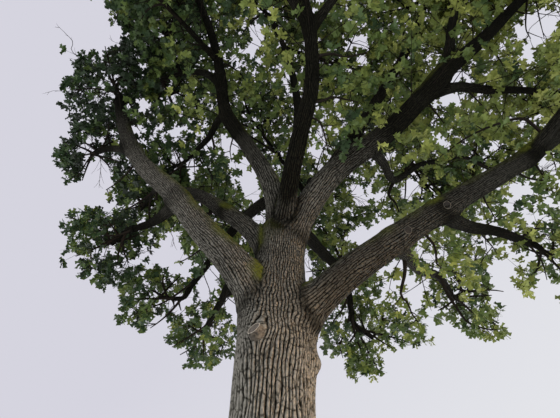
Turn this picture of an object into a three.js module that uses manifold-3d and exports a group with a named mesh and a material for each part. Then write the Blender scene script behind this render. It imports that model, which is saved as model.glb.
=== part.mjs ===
// A mature broad-crowned oak tree in full leaf, cut flat at ground level.
//
// Millimetres, +Z up, the foot of the trunk at the origin. The front of the tree looks along -Y and
// its right-hand side is +X. A heading is an angle in degrees round from +X towards +Y (the back),
// a rise is an angle in degrees up from the level.

import * as THREE from 'three';
import { mergeVertices } from 'three/addons/utils/BufferGeometryUtils.js';
import Module from 'manifold-3d';

const wasm = await Module();
wasm.setup();

// How the pieces meet: a limb is seated on the one that bears it with this much air between them.
const SEAT_GAP = 0.3;

// The trunk: its height to the fork, its girth up the bole and the lobes of its root flare.
const TRUNK_HEIGHT = 6160;
const TRUNK_WAY = [[0, 90], [0, 90], [15, 87], [35, 86]];
const TRUNK_SIDES = 24;
const TRUNK_RADII = [
  [0, 900], [150, 790], [420, 695], [900, 635], [1800, 605], [3000, 590], [3800, 600],
  [4300, 600], [4700, 505], [5100, 435], [5600, 395], [TRUNK_HEIGHT, 330],
];
const FLARE_HEIGHT = 900;
const FLARE_LOBES = 7;
const FLARE_DEPTH = 0.13;

// The marks on the bole: the healed ring of a pruned bough in front and a burl on the right.
const SCAR = { height: 4000, heading: 247, width: 210, tall: 290, proud: 45 };
const BURL = { height: 3680, heading: 355, width: 190, tall: 230, proud: 60 };

// The limbs. Each leaves its bearer part of the way along (at) and runs for its length in equal
// steps, one heading and rise for each step; its girth tapers from the root to the tip.
const THICK_LIMB = 300;
const THICK_LIMB_SIDES = 8;
const THIN_LIMB_SIDES = 6;
const LIMBS = [
  { name: 'left_bough', from: 'trunk', at: 0.66, length: 7520, girth: [600, 260],
    way: [[194, 60], [166, 52], [168, 54], [170, 48], [178, 60], [182, 70]] },
  { name: 'right_bough', from: 'trunk', at: 0.65, length: 8120, girth: [560, 200],
    way: [[342, 40], [350, 34], [354, 32], [352, 30], [356, 36], [354, 36]] },
  { name: 'rising_right_bough', from: 'trunk', at: 0.93, length: 8180, girth: [500, 200],
    way: [[336, 54], [340, 34], [340, 44], [348, 44], [346, 46]] },
  { name: 'rising_left_bough', from: 'trunk', at: 0.94, length: 7340, girth: [380, 150],
    way: [[234, 72], [180, 66], [186, 64], [234, 74], [226, 70], [216, 66]] },
  { name: 'back_left_bough', from: 'trunk', at: 0.84, length: 4340, girth: [420, 180],
    way: [[160, 62], [158, 48], [152, 44], [150, 30]] },
  { name: 'back_bough', from: 'trunk', at: 0.89, length: 4980, girth: [360, 180],
    way: [[68, 60], [74, 54], [76, 56]] },
  { name: 'top_leader', from: 'trunk', at: 0.96, length: 10020, girth: [360, 160],
    way: [[12, 62], [6, 62], [344, 60], [342, 66]] },
  { name: 'front_bough', from: 'trunk', at: 0.94, length: 5720, girth: [340, 160],
    way: [[280, 52], [286, 44], [292, 52], [268, 58], [252, 64], [260, 66]] },
  { name: 'low_back_right_bough', from: 'trunk', at: 0.88, length: 3920, girth: [300, 130],
    way: [[42, 60], [60, 8], [56, -8], [76, -22]] },
  { name: 'low_back_left_bough', from: 'trunk', at: 0.96, length: 3880, girth: [280, 120],
    way: [[164, 80], [134, 4], [132, -24], [134, -30]] },
  { name: 'upright_leader', from: 'trunk', at: 0.98, length: 7800, girth: [260, 120],
    way: [[20, 82], [318, 86], [212, 82], [178, 78]] },
  { name: 'lowest_left_bough', from: 'trunk', at: 0.73, length: 4020, girth: [240, 110],
    way: [[142, 60], [120, 26], [112, -6], [114, -8]] },
  { name: 'left_low_branch', from: 'left_bough', at: 0.46, length: 1340, girth: [240, 130],
    way: [[136, -10], [140, -2], [154, 0]] },
  { name: 'left_outer_branch', from: 'left_bough', at: 0.74, length: 1340, girth: [170, 100],
    way: [[164, 26], [160, 20], [150, 12]] },
  { name: 'right_low_branch', from: 'right_bough', at: 0.42, length: 2540, girth: [260, 140],
    way: [[36, 6], [24, 8], [28, 2]] },
  { name: 'right_hanging_branch', from: 'right_bough', at: 0.30, length: 2900, girth: [240, 120],
    way: [[58, 10], [56, 6], [42, 12], [56, -2]] },
  { name: 'right_front_branch', from: 'right_bough', at: 0.68, length: 2760, girth: [200, 120],
    way: [[302, 24], [300, 28], [296, 32]] },
  { name: 'upright_right_branch', from: 'rising_right_bough', at: 0.56, length: 3600,
    girth: [240, 120], way: [[334, 58], [320, 70], [324, 66], [324, 68]] },
  { name: 'level_right_branch', from: 'rising_right_bough', at: 0.51, length: 3560,
    girth: [220, 120], way: [[2, 26], [14, 14], [10, 14], [14, 10]] },
  { name: 'back_hanging_branch', from: 'rising_right_bough', at: 0.32, length: 3480,
    girth: [200, 100], way: [[56, 18], [60, 14], [6, 38], [14, 26]] },
  { name: 'front_right_branch', from: 'front_bough', at: 0.68, length: 2080, girth: [170, 100],
    way: [[332, 54], [334, 56], [328, 58]] },
  { name: 'front_left_branch', from: 'front_bough', at: 0.70, length: 2180, girth: [170, 100],
    way: [[222, 46], [220, 50], [220, 52]] },
  { name: 'high_left_branch', from: 'rising_left_bough', at: 0.60, length: 1980, girth: [160, 100],
    way: [[174, 52], [162, 34], [152, 20]] },
  { name: 'inner_left_branch', from: 'rising_left_bough', at: 0.38, length: 2520,
    girth: [200, 100], way: [[168, 56], [120, 10], [130, 6]] },
  { name: 'back_left_branch', from: 'back_left_bough', at: 0.47, length: 2200, girth: [200, 120],
    way: [[108, 36], [108, 38], [108, 40]] },
  { name: 'back_right_branch', from: 'top_leader', at: 0.34, length: 2180, girth: [200, 120],
    way: [[38, 30], [40, 32], [46, 36]] },
];

// The foliage masses. Each fills an egg-shaped space, spread wide and tall from its middle, which
// lies a given reach from where its stem leaves the limb: from the tip, or from the side (at).
const MASSES = [
  { name: 'leaves_upper_left', on: 'left_bough', heading: 175, rise: 65, reach: 950,
    spread: 1350, tall: 1200 },
  { name: 'leaves_left', on: 'left_outer_branch', heading: 115, rise: 55, reach: 450,
    spread: 1050, tall: 1100 },
  { name: 'leaves_left_low', on: 'left_low_branch', heading: 145, rise: -10, reach: 700,
    spread: 1050, tall: 780 },
  { name: 'leaves_high_left', on: 'high_left_branch', heading: 105, rise: 30, reach: 1050,
    spread: 1200, tall: 1100 },
  { name: 'leaves_top_left', on: 'high_left_branch', at: 0.8, heading: 185, rise: 70,
    reach: 2300, spread: 1500, tall: 1250 },
  { name: 'leaves_crown_left', on: 'rising_left_bough', heading: 180, rise: 75, reach: 2050,
    spread: 1600, tall: 1400 },
  { name: 'leaves_left_front', on: 'rising_left_bough', at: 0.7, heading: 228, rise: 12,
    reach: 2750, spread: 1500, tall: 1250 },
  { name: 'leaves_inner_left', on: 'inner_left_branch', heading: 130, rise: 20, reach: 1050,
    spread: 1250, tall: 1000 },
  { name: 'leaves_back_left', on: 'back_left_bough', heading: 130, rise: 15, reach: 1650,
    spread: 1150, tall: 1000 },
  { name: 'leaves_low_back_left', on: 'low_back_left_bough', heading: 145, rise: 5, reach: 950,
    spread: 1050, tall: 850 },
  { name: 'leaves_lowest_left', on: 'lowest_left_bough', heading: 105, rise: 12, reach: 650,
    spread: 950, tall: 950 },
  { name: 'leaves_low_back_right', on: 'low_back_right_bough', heading: 55, rise: -15,
    reach: 1050, spread: 1250, tall: 1000 },
  { name: 'leaves_right_hanging', on: 'right_hanging_branch', heading: 35, rise: 20, reach: 800,
    spread: 1000, tall: 1250 },
  { name: 'leaves_right_low', on: 'right_low_branch', heading: 35, rise: -5, reach: 750,
    spread: 950, tall: 900 },
  { name: 'leaves_right', on: 'right_bough', heading: 15, rise: 65, reach: 650,
    spread: 1600, tall: 1400 },
  { name: 'leaves_level_right', on: 'level_right_branch', heading: 56, rise: 40, reach: 2200,
    spread: 1550, tall: 1300 },
  { name: 'leaves_rising_right', on: 'rising_right_bough', heading: 345, rise: 60, reach: 1300,
    spread: 1600, tall: 1400 },
  { name: 'leaves_upright_right', on: 'upright_right_branch', heading: 56, rise: 34,
    reach: 1950, spread: 1600, tall: 1400 },
  { name: 'leaves_back_hanging', on: 'back_hanging_branch', heading: 30, rise: 25, reach: 2000,
    spread: 1500, tall: 1200 },
  { name: 'leaves_top', on: 'top_leader', heading: 135, rise: 35, reach: 750,
    spread: 1800, tall: 1400 },
  { name: 'leaves_top_middle', on: 'upright_leader', heading: 160, rise: 70, reach: 1300,
    spread: 1800, tall: 1400 },
  { name: 'leaves_inner_top', on: 'upright_leader', at: 0.8, heading: 30, rise: 20, reach: 2250,
    spread: 1600, tall: 1400 },
  { name: 'leaves_front', on: 'front_bough', heading: 275, rise: 45, reach: 1800,
    spread: 1600, tall: 1300 },
  { name: 'leaves_front_right', on: 'front_right_branch', heading: 310, rise: 20, reach: 1600,
    spread: 1500, tall: 1300 },
  { name: 'leaves_front_left', on: 'front_left_branch', heading: 225, rise: -15, reach: 1350,
    spread: 1500, tall: 1300 },
  { name: 'leaves_right_front', on: 'right_front_branch', heading: 275, rise: 45, reach: 1350,
    spread: 1600, tall: 1400 },
  { name: 'leaves_back_right', on: 'back_right_branch', heading: 45, rise: -15, reach: 2050,
    spread: 1800, tall: 1500 },
  { name: 'leaves_back_right_top', on: 'back_right_branch', at: 0.7, heading: 40, rise: 68,
    reach: 2700, spread: 1600, tall: 1300 },
  { name: 'leaves_back_left_high', on: 'back_left_branch', heading: 120, rise: 40, reach: 1900,
    spread: 1800, tall: 1500 },
  { name: 'leaves_back', on: 'back_bough', heading: 80, rise: 25, reach: 2100,
    spread: 1900, tall: 1600 },
  { name: 'leaves_back_top', on: 'back_bough', at: 0.8, heading: 176, rise: 64, reach: 3650,
    spread: 1700, tall: 1400 },
  { name: 'leaves_back_low_right', on: 'low_back_right_bough', at: 0.75, heading: 82, rise: 44,
    reach: 1950, spread: 1350, tall: 1100 },
  { name: 'leaves_back_low_left', on: 'lowest_left_bough', at: 0.7, heading: 68, rise: 38,
    reach: 2000, spread: 1250, tall: 1000 },
];

// How a mass grows: twigs fan out from its stem, and every twig ends in a leaf and bears another
// on its side, each standing for a spray. A leaf reaches for the edge of the space as far as its
// longest length allows. A place where nothing fits after a few tries stays bare.
const TWIGS = 7;
const TWIG_REACH = 0.7;
const TWIG_GIRTH = [54, 46];
const TWIG_SIDES = 3;
const STEM_SIDES = 3;
const STEM_TIP_GIRTH = 150;
const SIDE_LEAF_AT = 0.4;
const LEAF_TRIES = 20;
const MASS_SEED = 7919;
const LEAF_LONGEST = 0.75;
const LEAF_SHORTEST = 0.34;
const LEAF_WIDTH = 1.05;
const LEAF_THICKNESS = 0.08;
const LEAF_WIDEST_AT = 0.58;
const LEAF_ROOT = 10;
const LIMB_CLEARANCE = 110;
const NEIGHBOUR_CLEARANCE = 5;
const OVERREACH = 1.1;
const GOLDEN_TURN = Math.PI * (3 - Math.sqrt(5));

const BARK = '#6e6455';
const HIGH_BARK = '#584f43';
const LEAF_GREENS = ['#40632a', '#4c7230', '#587f35', '#35562a'];

const radians = THREE.MathUtils.degToRad;

function pointing(heading, rise) {
  const level = Math.cos(radians(rise));
  const turn = radians(heading);
  return new THREE.Vector3(level * Math.cos(turn), level * Math.sin(turn), Math.sin(radians(rise)));
}

// A repeatable stream of numbers between 0 and 1.
function dice(start) {
  let seed = start;
  return () => {
    seed = (seed * 16807) % 2147483647;
    return seed / 2147483647;
  };
}

function wayCurve(start, length, way) {
  const points = [start.clone()];
  for (const [heading, rise] of way) {
    points.push(points.at(-1).clone().addScaledVector(pointing(heading, rise), length / way.length));
  }
  return new THREE.CatmullRomCurve3(points, false, 'catmullrom', 0.5);
}

function solidOf(shape) {
  shape.deleteAttribute('normal');
  shape.deleteAttribute('uv');
  const welded = mergeVertices(shape, 0.001);
  return new wasm.Manifold(new wasm.Mesh({
    numProp: 3,
    vertProperties: new Float32Array(welded.attributes.position.array),
    triVerts: new Uint32Array(welded.index.array),
  }));
}

// A closed tube along a curve, ringed at the given stations (0 to 1). Its radius may change with
// the station and the angle round it, and the whole skin can be grown outwards.
function tube(curve, stations, sides, radiusAt, grow = 0) {
  const rings = stations.length - 1;
  const shape = new THREE.CylinderGeometry(1, 1, 1, sides, rings);
  const corner = (2 * Math.PI) / sides;
  const frames = [];
  const first = curve.getTangent(0);
  let across = new THREE.Vector3(0, 1, 0);
  if (Math.hypot(first.x, first.y) > 0.05) across.set(-first.y, first.x, 0).normalize();
  for (const [ring, station] of stations.entries()) {
    const along = curve.getTangent(station);
    across = across.clone().addScaledVector(along, -across.dot(along)).normalize();
    const end = ring === 0 ? -grow : ring === rings ? grow : 0;
    frames.push({
      station,
      middle: curve.getPoint(station).addScaledVector(along, end),
      across,
      over: along.clone().cross(across),
    });
  }
  const place = shape.attributes.position;
  for (let i = 0; i < place.count; i += 1) {
    const frame = frames[Math.round((place.getY(i) + 0.5) * rings)];
    const share = Math.hypot(place.getX(i), place.getZ(i)) > 0.5 ? 1 : 0;
    const step = Math.round(Math.atan2(place.getX(i), place.getZ(i)) / corner + sides) % sides;
    const radius = share * (radiusAt(frame.station, step * corner) + grow);
    const point = frame.middle.clone()
      .addScaledVector(frame.across, radius * Math.cos(step * corner))
      .addScaledVector(frame.over, radius * Math.sin(step * corner));
    place.setXYZ(i, point.x, point.y, point.z);
  }
  return solidOf(shape);
}

function evenStations(count) {
  return Array.from({ length: count + 1 }, (_, step) => step / count);
}

function biggestBody(solid) {
  return solid.decompose().sort((one, other) => other.volume() - one.volume())[0];
}

function boxesMeet(one, other) {
  const a = one.boundingBox();
  const b = other.boundingBox();
  return [0, 1, 2].every((axis) => a.min[axis] <= b.max[axis] && b.min[axis] <= a.max[axis]);
}

// A rounded boss on the bole, such as the ring round a healed cut.
function bossOn(curve, mark) {
  const station = mark.height / TRUNK_HEIGHT;
  const outward = pointing(mark.heading, 0);
  const middle = curve.getPoint(station).addScaledVector(outward, trunkRadius(station, 0));
  const shape = new THREE.SphereGeometry(0.5, 8, 6);
  shape.scale(2 * mark.proud, mark.width, mark.tall);
  shape.rotateZ(radians(mark.heading));
  shape.translate(middle.x, middle.y, middle.z);
  return solidOf(shape);
}

function trunkRadius(station, angle = 0) {
  const height = station * TRUNK_HEIGHT;
  const upper = Math.max(1, TRUNK_RADII.findIndex(([level]) => level >= height - 0.01));
  const [low, wide] = TRUNK_RADII[upper - 1];
  const [high, narrow] = TRUNK_RADII[upper];
  const radius = THREE.MathUtils.mapLinear(height, low, high, wide, narrow);
  const flare = Math.max(0, 1 - height / FLARE_HEIGHT);
  return radius * (1 + FLARE_DEPTH * flare * Math.cos(FLARE_LOBES * angle));
}

// The wood: the trunk first, then each limb cut clear of every one already standing.
const wood = new Map();

function plantTrunk() {
  const curve = wayCurve(new THREE.Vector3(), TRUNK_HEIGHT, TRUNK_WAY);
  const stations = TRUNK_RADII.map(([height]) => height / TRUNK_HEIGHT);
  const bole = tube(curve, stations, TRUNK_SIDES, trunkRadius);
  wood.set('trunk', {
    curve,
    solid: bole.add(bossOn(curve, SCAR)).add(bossOn(curve, BURL)),
    grown: tube(curve, stations, TRUNK_SIDES, trunkRadius, SEAT_GAP),
    radiusAt: trunkRadius,
  });
}

function growLimb(limb) {
  const curve = wayCurve(wood.get(limb.from).curve.getPoint(limb.at), limb.length, limb.way);
  const [root, tip] = limb.girth;
  const radiusAt = (station) => THREE.MathUtils.lerp(root, tip, station) / 2;
  const stations = evenStations(Math.round(limb.way.length * 1.5));
  const sides = root > THICK_LIMB ? THICK_LIMB_SIDES : THIN_LIMB_SIDES;
  let solid = tube(curve, stations, sides, radiusAt);
  for (const standing of wood.values()) {
    if (boxesMeet(solid, standing.grown)) solid = biggestBody(solid.subtract(standing.grown));
  }
  const grown = tube(curve, stations, sides, radiusAt, SEAT_GAP);
  wood.set(limb.name, { curve, solid, grown, radiusAt });
}

// The legs of a curved limb or stem, used to keep leaves from touching it.
function legsOf(curve, radiusAt, count) {
  const stations = evenStations(count);
  return stations.slice(1).map((station, step) => ({
    line: new THREE.Line3(curve.getPoint(stations[step]), curve.getPoint(station)),
    radius: radiusAt(stations[step]),
  }));
}

// The space of a mass and the stem that carries it. From a tip the stem sets out straight ahead.
function layOut(mass) {
  const limb = wood.get(mass.on);
  const station = mass.at ?? 1;
  const start = limb.curve.getPoint(station);
  const middle = start.clone().addScaledVector(pointing(mass.heading, mass.rise), mass.reach);
  const bend = station === 1
    ? start.clone().addScaledVector(limb.curve.getTangent(1), mass.reach * 0.3)
    : start.clone().lerp(middle, 0.4);
  const curve = new THREE.CatmullRomCurve3([start, bend, middle], false, 'catmullrom', 0.5);
  const rootGirth = 2 * limb.radiusAt(station) * (station === 1 ? 0.9 : 0.6);
  const radiusAt = (part) => THREE.MathUtils.lerp(rootGirth, STEM_TIP_GIRTH, part) / 2;
  return { ...mass, middle, curve, radiusAt, legs: legsOf(curve, radiusAt, 4) };
}

// How far a line runs from a point before it leaves the mass's own space.
function roomAlong(space, from, toward) {
  const scale = new THREE.Vector3(1 / space.spread, 1 / space.spread, 1 / space.tall);
  const p = from.clone().sub(space.middle).multiply(scale);
  const d = toward.clone().multiply(scale);
  const half = p.dot(d);
  const inside = half * half - d.lengthSq() * (p.lengthSq() - 1);
  let room = inside > 0 ? (Math.sqrt(inside) - half) / d.lengthSq() : 0;
  for (const wall of space.walls) {
    const closing = toward.dot(wall.normal);
    if (closing > 0.01) room = Math.min(room, (wall.reach - wall.normal.dot(from)) / closing);
  }
  return room;
}

function insideSpace(space, point) {
  const scale = new THREE.Vector3(1 / space.spread, 1 / space.spread, 1 / space.tall);
  return point.clone().sub(space.middle).multiply(scale).lengthSq() < OVERREACH ** 2
    && space.walls.every((wall) => wall.normal.dot(point) < wall.reach - NEIGHBOUR_CLEARANCE);
}

function clearOfWood(obstacles, point) {
  const nearest = new THREE.Vector3();
  return obstacles.every((leg) => leg.line.closestPointToPoint(point, true, nearest)
    .distanceTo(point) > leg.radius + LIMB_CLEARANCE);
}

// Points spread over a leaf or along a twig, near enough together that no limb slips between.
function leafPoints(leaf) {
  const points = [];
  for (const along of [0.15, 0.35, 0.55, 0.75, 1]) {
    const half = leaf.width / 2 * (along < LEAF_WIDEST_AT
      ? along / LEAF_WIDEST_AT : (1 - along) / (1 - LEAF_WIDEST_AT));
    for (const side of [-1, 0, 1]) {
      points.push(leaf.base.clone().addScaledVector(leaf.toward, leaf.length * along)
        .addScaledVector(leaf.across, side * half));
    }
  }
  return points;
}

function leafSolid(leaf) {
  const shape = new THREE.OctahedronGeometry(1);
  const ahead = leaf.length * (1 - LEAF_WIDEST_AT);
  const behind = leaf.length * LEAF_WIDEST_AT + LEAF_ROOT;
  const place = shape.attributes.position;
  const face = leaf.toward.clone().cross(leaf.across);
  const widest = leaf.base.clone().addScaledVector(leaf.toward, leaf.length * LEAF_WIDEST_AT);
  for (let i = 0; i < place.count; i += 1) {
    const along = place.getY(i) > 0 ? place.getY(i) * ahead : place.getY(i) * behind;
    const point = widest.clone().addScaledVector(leaf.toward, along)
      .addScaledVector(leaf.across, place.getX(i) * leaf.width / 2)
      .addScaledVector(face, -place.getZ(i) * leaf.width * LEAF_THICKNESS / 2);
    place.setXYZ(i, point.x, point.y, point.z);
  }
  return solidOf(shape);
}

function meets(one, other) {
  return boxesMeet(one, other) && !one.intersect(other).isEmpty();
}

// The twigs of a mass point evenly all round its middle.
function fanOfTwigs(space, isFree, roll) {
  const phase = roll() * 2 * Math.PI;
  const twigs = [];
  for (let place = 0; place < TWIGS; place += 1) {
    const high = 1 - (2 * place + 1) / TWIGS;
    const turn = phase + place * GOLDEN_TURN;
    const level = Math.sqrt(1 - high * high);
    const outward = new THREE.Vector3(level * Math.cos(turn), level * Math.sin(turn), high);
    const node = space.curve.getPoint(0.98 - 0.55 * place / TWIGS);
    const end = space.middle.clone()
      .addScaledVector(outward, TWIG_REACH * roomAlong(space, space.middle, outward));
    if (!isFree(evenStations(6).slice(1).map((part) => node.clone().lerp(end, part)))) continue;
    const girthAt = (part) => THREE.MathUtils.lerp(...TWIG_GIRTH, part) / 2;
    const solid = tube(new THREE.LineCurve3(node, end), [0, 1], TWIG_SIDES, girthAt);
    twigs.push({ node, end, along: end.clone().sub(node).normalize(), solid });
  }
  return twigs;
}

// A leaf that ends a twig swallows the twig's tip at its own widest place.
function endLeaf(space, twig, roll) {
  const toward = twig.along;
  const ahead = 0.97 * roomAlong(space, twig.end, toward);
  const length = Math.min(LEAF_LONGEST * space.spread, ahead / (1 - LEAF_WIDEST_AT));
  const tilt = new THREE.Vector3(roll() - 0.5, roll() - 0.5, roll());
  const across = toward.clone().cross(tilt).normalize();
  const base = twig.end.clone().addScaledVector(toward, -length * LEAF_WIDEST_AT);
  return { base, toward, across, length, width: length * LEAF_WIDTH };
}

// A side leaf leaves the twig square to one of its three flats, in line with the twig.
function sideLeaf(space, twig, roll) {
  const sideways = new THREE.Vector3(-twig.along.y, twig.along.x, 0).normalize();
  const flat = (Math.floor(TWIG_SIDES * roll()) + 0.5) * 2 * Math.PI / TWIG_SIDES;
  const lean = sideways.clone().multiplyScalar(Math.cos(flat))
    .addScaledVector(twig.along.clone().cross(sideways), Math.sin(flat));
  const toward = twig.along.clone().addScaledVector(lean, 1 + 0.8 * roll()).normalize();
  const base = twig.node.clone().lerp(twig.end, SIDE_LEAF_AT);
  const length = Math.min(LEAF_LONGEST * space.spread, 0.97 * roomAlong(space, base, toward));
  const across = twig.along.clone().addScaledVector(toward, -twig.along.dot(toward)).normalize()
    .applyAxisAngle(toward, 1.2 * (roll() - 0.5));
  return { base, toward, across, length, width: length * LEAF_WIDTH };
}

function growMass(space, obstacles, seed) {
  const roll = dice(seed);
  const isFree = (points) => points.every((point) => insideSpace(space, point)
    && clearOfWood(obstacles, point));
  const stem = tube(space.curve, evenStations(2), STEM_SIDES, space.radiusAt);
  const seated = biggestBody(stem.subtract(wood.get(space.on).grown));
  const twigs = fanOfTwigs(space, isFree, roll);
  const leaves = [];
  for (const shapeLeaf of [endLeaf, sideLeaf]) {
    for (const twig of twigs) {
      const others = twigs.filter((other) => other !== twig).map(({ solid }) => solid);
      for (let tries = 0; tries < LEAF_TRIES; tries += 1) {
        const leaf = shapeLeaf(space, twig, roll);
        if (leaf.length < LEAF_SHORTEST * space.spread || !isFree(leafPoints(leaf))) continue;
        const solid = leafSolid(leaf);
        if ([seated, ...others, ...leaves].some((other) => meets(solid, other))) continue;
        leaves.push(solid);
        break;
      }
    }
  }
  const parts = [seated, ...twigs.map(({ solid }) => solid), ...leaves];
  return biggestBody(wasm.Manifold.union(parts));
}

// Neighbouring masses are parted by a flat wall square to the line between their middles.
function raiseWalls(spaces) {
  const size = (space) => (2 * space.spread + space.tall) / 3;
  for (const space of spaces) {
    space.walls = spaces.filter((other) => other !== space).map((other) => {
      const normal = other.middle.clone().sub(space.middle);
      const apart = normal.length();
      normal.normalize();
      const share = apart * size(space) / (size(space) + size(other));
      return { normal, reach: normal.dot(space.middle) + share };
    });
  }
}

function meshOf(name, solid, color, roughness) {
  const { vertProperties, triVerts } = solid.getMesh();
  const shape = new THREE.BufferGeometry();
  shape.setAttribute('position', new THREE.BufferAttribute(vertProperties, 3));
  shape.setIndex(new THREE.BufferAttribute(triVerts, 1));
  shape.computeVertexNormals();
  const mesh = new THREE.Mesh(shape, new THREE.MeshStandardMaterial({ color, roughness }));
  mesh.name = name;
  return mesh;
}

const tree = new THREE.Group();
tree.name = 'oak_tree';

plantTrunk();
for (const limb of LIMBS) growLimb(limb);
for (const [name, { solid }] of wood) {
  tree.add(meshOf(name, solid, name === 'trunk' || name.endsWith('bough') ? BARK : HIGH_BARK, 0.9));
}

const spaces = MASSES.map(layOut);
raiseWalls(spaces);
const woodLegs = [...wood].flatMap(([name, limb]) => legsOf(limb.curve, limb.radiusAt, 12)
  .map((leg) => ({ ...leg, owner: name })));
for (const [number, space] of spaces.entries()) {
  const otherStems = spaces.filter((other) => other !== space).flatMap((other) => other.legs);
  const obstacles = [...woodLegs, ...otherStems];
  const solid = growMass(space, obstacles, MASS_SEED * (number + 1));
  tree.add(meshOf(space.name, solid, LEAF_GREENS[number % LEAF_GREENS.length], 0.7));
}

export default tree;
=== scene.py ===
# %% [markdown]
# A mature oak in full leaf, seen from under its crown. The stout trunk forks about four and a half
# metres up and carries wide boughs that break into twigs and clusters of lobed leaves. The packed
# model gives the frame: its limbs and the spaces of its foliage stay where they are, and this
# lesson gives them bark, twigs and leaves.

# %% The frame
import itertools
import math

import bpy
import numpy as np
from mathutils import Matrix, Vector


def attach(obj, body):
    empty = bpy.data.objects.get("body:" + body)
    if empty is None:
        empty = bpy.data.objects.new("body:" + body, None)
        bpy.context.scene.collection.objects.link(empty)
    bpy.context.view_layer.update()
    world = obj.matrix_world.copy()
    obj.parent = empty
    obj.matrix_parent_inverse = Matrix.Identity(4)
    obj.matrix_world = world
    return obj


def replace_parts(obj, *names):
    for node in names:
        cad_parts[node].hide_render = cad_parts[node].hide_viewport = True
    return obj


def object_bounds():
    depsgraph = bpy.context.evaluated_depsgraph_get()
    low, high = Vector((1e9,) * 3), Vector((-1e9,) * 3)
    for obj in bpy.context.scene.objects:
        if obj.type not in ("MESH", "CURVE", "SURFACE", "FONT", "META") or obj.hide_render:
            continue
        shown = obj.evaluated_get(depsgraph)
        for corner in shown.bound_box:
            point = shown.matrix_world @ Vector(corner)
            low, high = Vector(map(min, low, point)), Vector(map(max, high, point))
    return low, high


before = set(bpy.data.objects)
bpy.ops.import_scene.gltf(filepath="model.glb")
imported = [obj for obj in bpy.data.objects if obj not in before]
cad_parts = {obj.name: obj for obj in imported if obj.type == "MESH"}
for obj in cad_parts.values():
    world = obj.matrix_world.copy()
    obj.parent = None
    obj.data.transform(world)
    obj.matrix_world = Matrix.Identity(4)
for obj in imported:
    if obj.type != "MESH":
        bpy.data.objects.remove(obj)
packed_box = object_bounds()
print("packed model:", [[round(v, 2) for v in corner] for corner in packed_box])

# %% [markdown]
# Every limb of a tree is one tapering rod that bends as it grows towards the light. It could be
# drawn as a Bezier curve by hand. Here each one is worked out from a few named sizes instead: the
# limb that bears it, how far along, its length, its girth at root and tip, and one heading and
# rise for each even step. A smooth curve then runs through the steps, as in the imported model.

# %% Curves
MM = 0.001


def pointing(heading, rise):
    """The direction with this heading (degrees from +X towards +Y) and rise above the level."""
    turn, lift = math.radians(heading), math.radians(rise)
    level = math.cos(lift)
    return np.array([level * math.cos(turn), level * math.sin(turn), math.sin(lift)])


def unit(vectors):
    """The same directions with a length of one."""
    return vectors / np.maximum(np.linalg.norm(vectors, axis=-1, keepdims=True), 1e-9)


def way_points(start, length, way):
    """The corners of a limb's way: even steps, each with its own heading and rise."""
    steps = [pointing(heading, rise) * length / len(way) for heading, rise in way]
    return np.vstack([start, start + np.cumsum(steps, axis=0)])


def on_curve(corners, parts):
    """Places and directions at these parts (0 to 1) of the smooth curve through the corners."""
    before, after = 2 * corners[0] - corners[1], 2 * corners[-1] - corners[-2]
    padded = np.vstack([before, corners, after])
    span = np.atleast_1d(parts) * (len(corners) - 1)
    leg = np.clip(span.astype(int), 0, len(corners) - 2)
    t = (span - leg)[:, None]
    start, end = padded[leg + 1], padded[leg + 2]
    leaving, arriving = (end - padded[leg]) / 2, (padded[leg + 3] - start) / 2
    places = ((2 * t**3 - 3 * t**2 + 1) * start + (t**3 - 2 * t**2 + t) * leaving
              + (3 * t**2 - 2 * t**3) * end + (t**3 - t**2) * arriving)
    ahead = ((6 * t**2 - 6 * t) * (start - end) + (3 * t**2 - 4 * t + 1) * leaving
             + (3 * t**2 - 2 * t) * arriving)
    return places, unit(ahead)


# Enough places on a curve to measure its length by.
CURVE_SAMPLES = 400


def line_up(corners, radius_at, spacing):
    """A limb's middle line in even steps: places, directions, distances along it and radii."""
    fine = np.linspace(0, 1, CURVE_SAMPLES)
    places, _ = on_curve(corners, fine)
    along = np.append(0, np.cumsum(np.linalg.norm(np.diff(places, axis=0), axis=1)))
    rings = max(4, round(along[-1] / spacing)) + 1
    parts = np.interp(np.linspace(0, along[-1], rings), along, fine)
    middles, ahead = on_curve(corners, parts)
    return {"middles": middles, "ahead": ahead, "along": np.linspace(0, along[-1], rings),
            "radii": radius_at(parts), "parts": parts, "corners": corners}


def turned_frames(middles, ahead):
    """Two directions across the line at each place, carried along it without a twist."""
    across = np.zeros_like(middles)
    # The first direction faces down, or to the front on an upright limb.
    side = np.array([0.0, -0.1, -1.0])
    for i, forward in enumerate(ahead):
        side = side - forward * side.dot(forward)
        side /= np.linalg.norm(side)
        across[i] = side
    return across, np.cross(ahead, across)


# %% The trunk and limbs, in millimetres
TRUNK_HEIGHT = 6160
TRUNK_WAY = [(0, 90), (0, 90), (15, 87), (35, 86)]
TRUNK_RADII = [(0, 900), (150, 790), (420, 695), (900, 635), (1800, 605), (3000, 590),
               (3800, 600), (4300, 600), (4700, 505), (5100, 435), (5600, 395), (6160, 330)]
FLARE_HEIGHT, FLARE_LOBES, FLARE_DEPTH = 900, 7, 0.13

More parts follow.
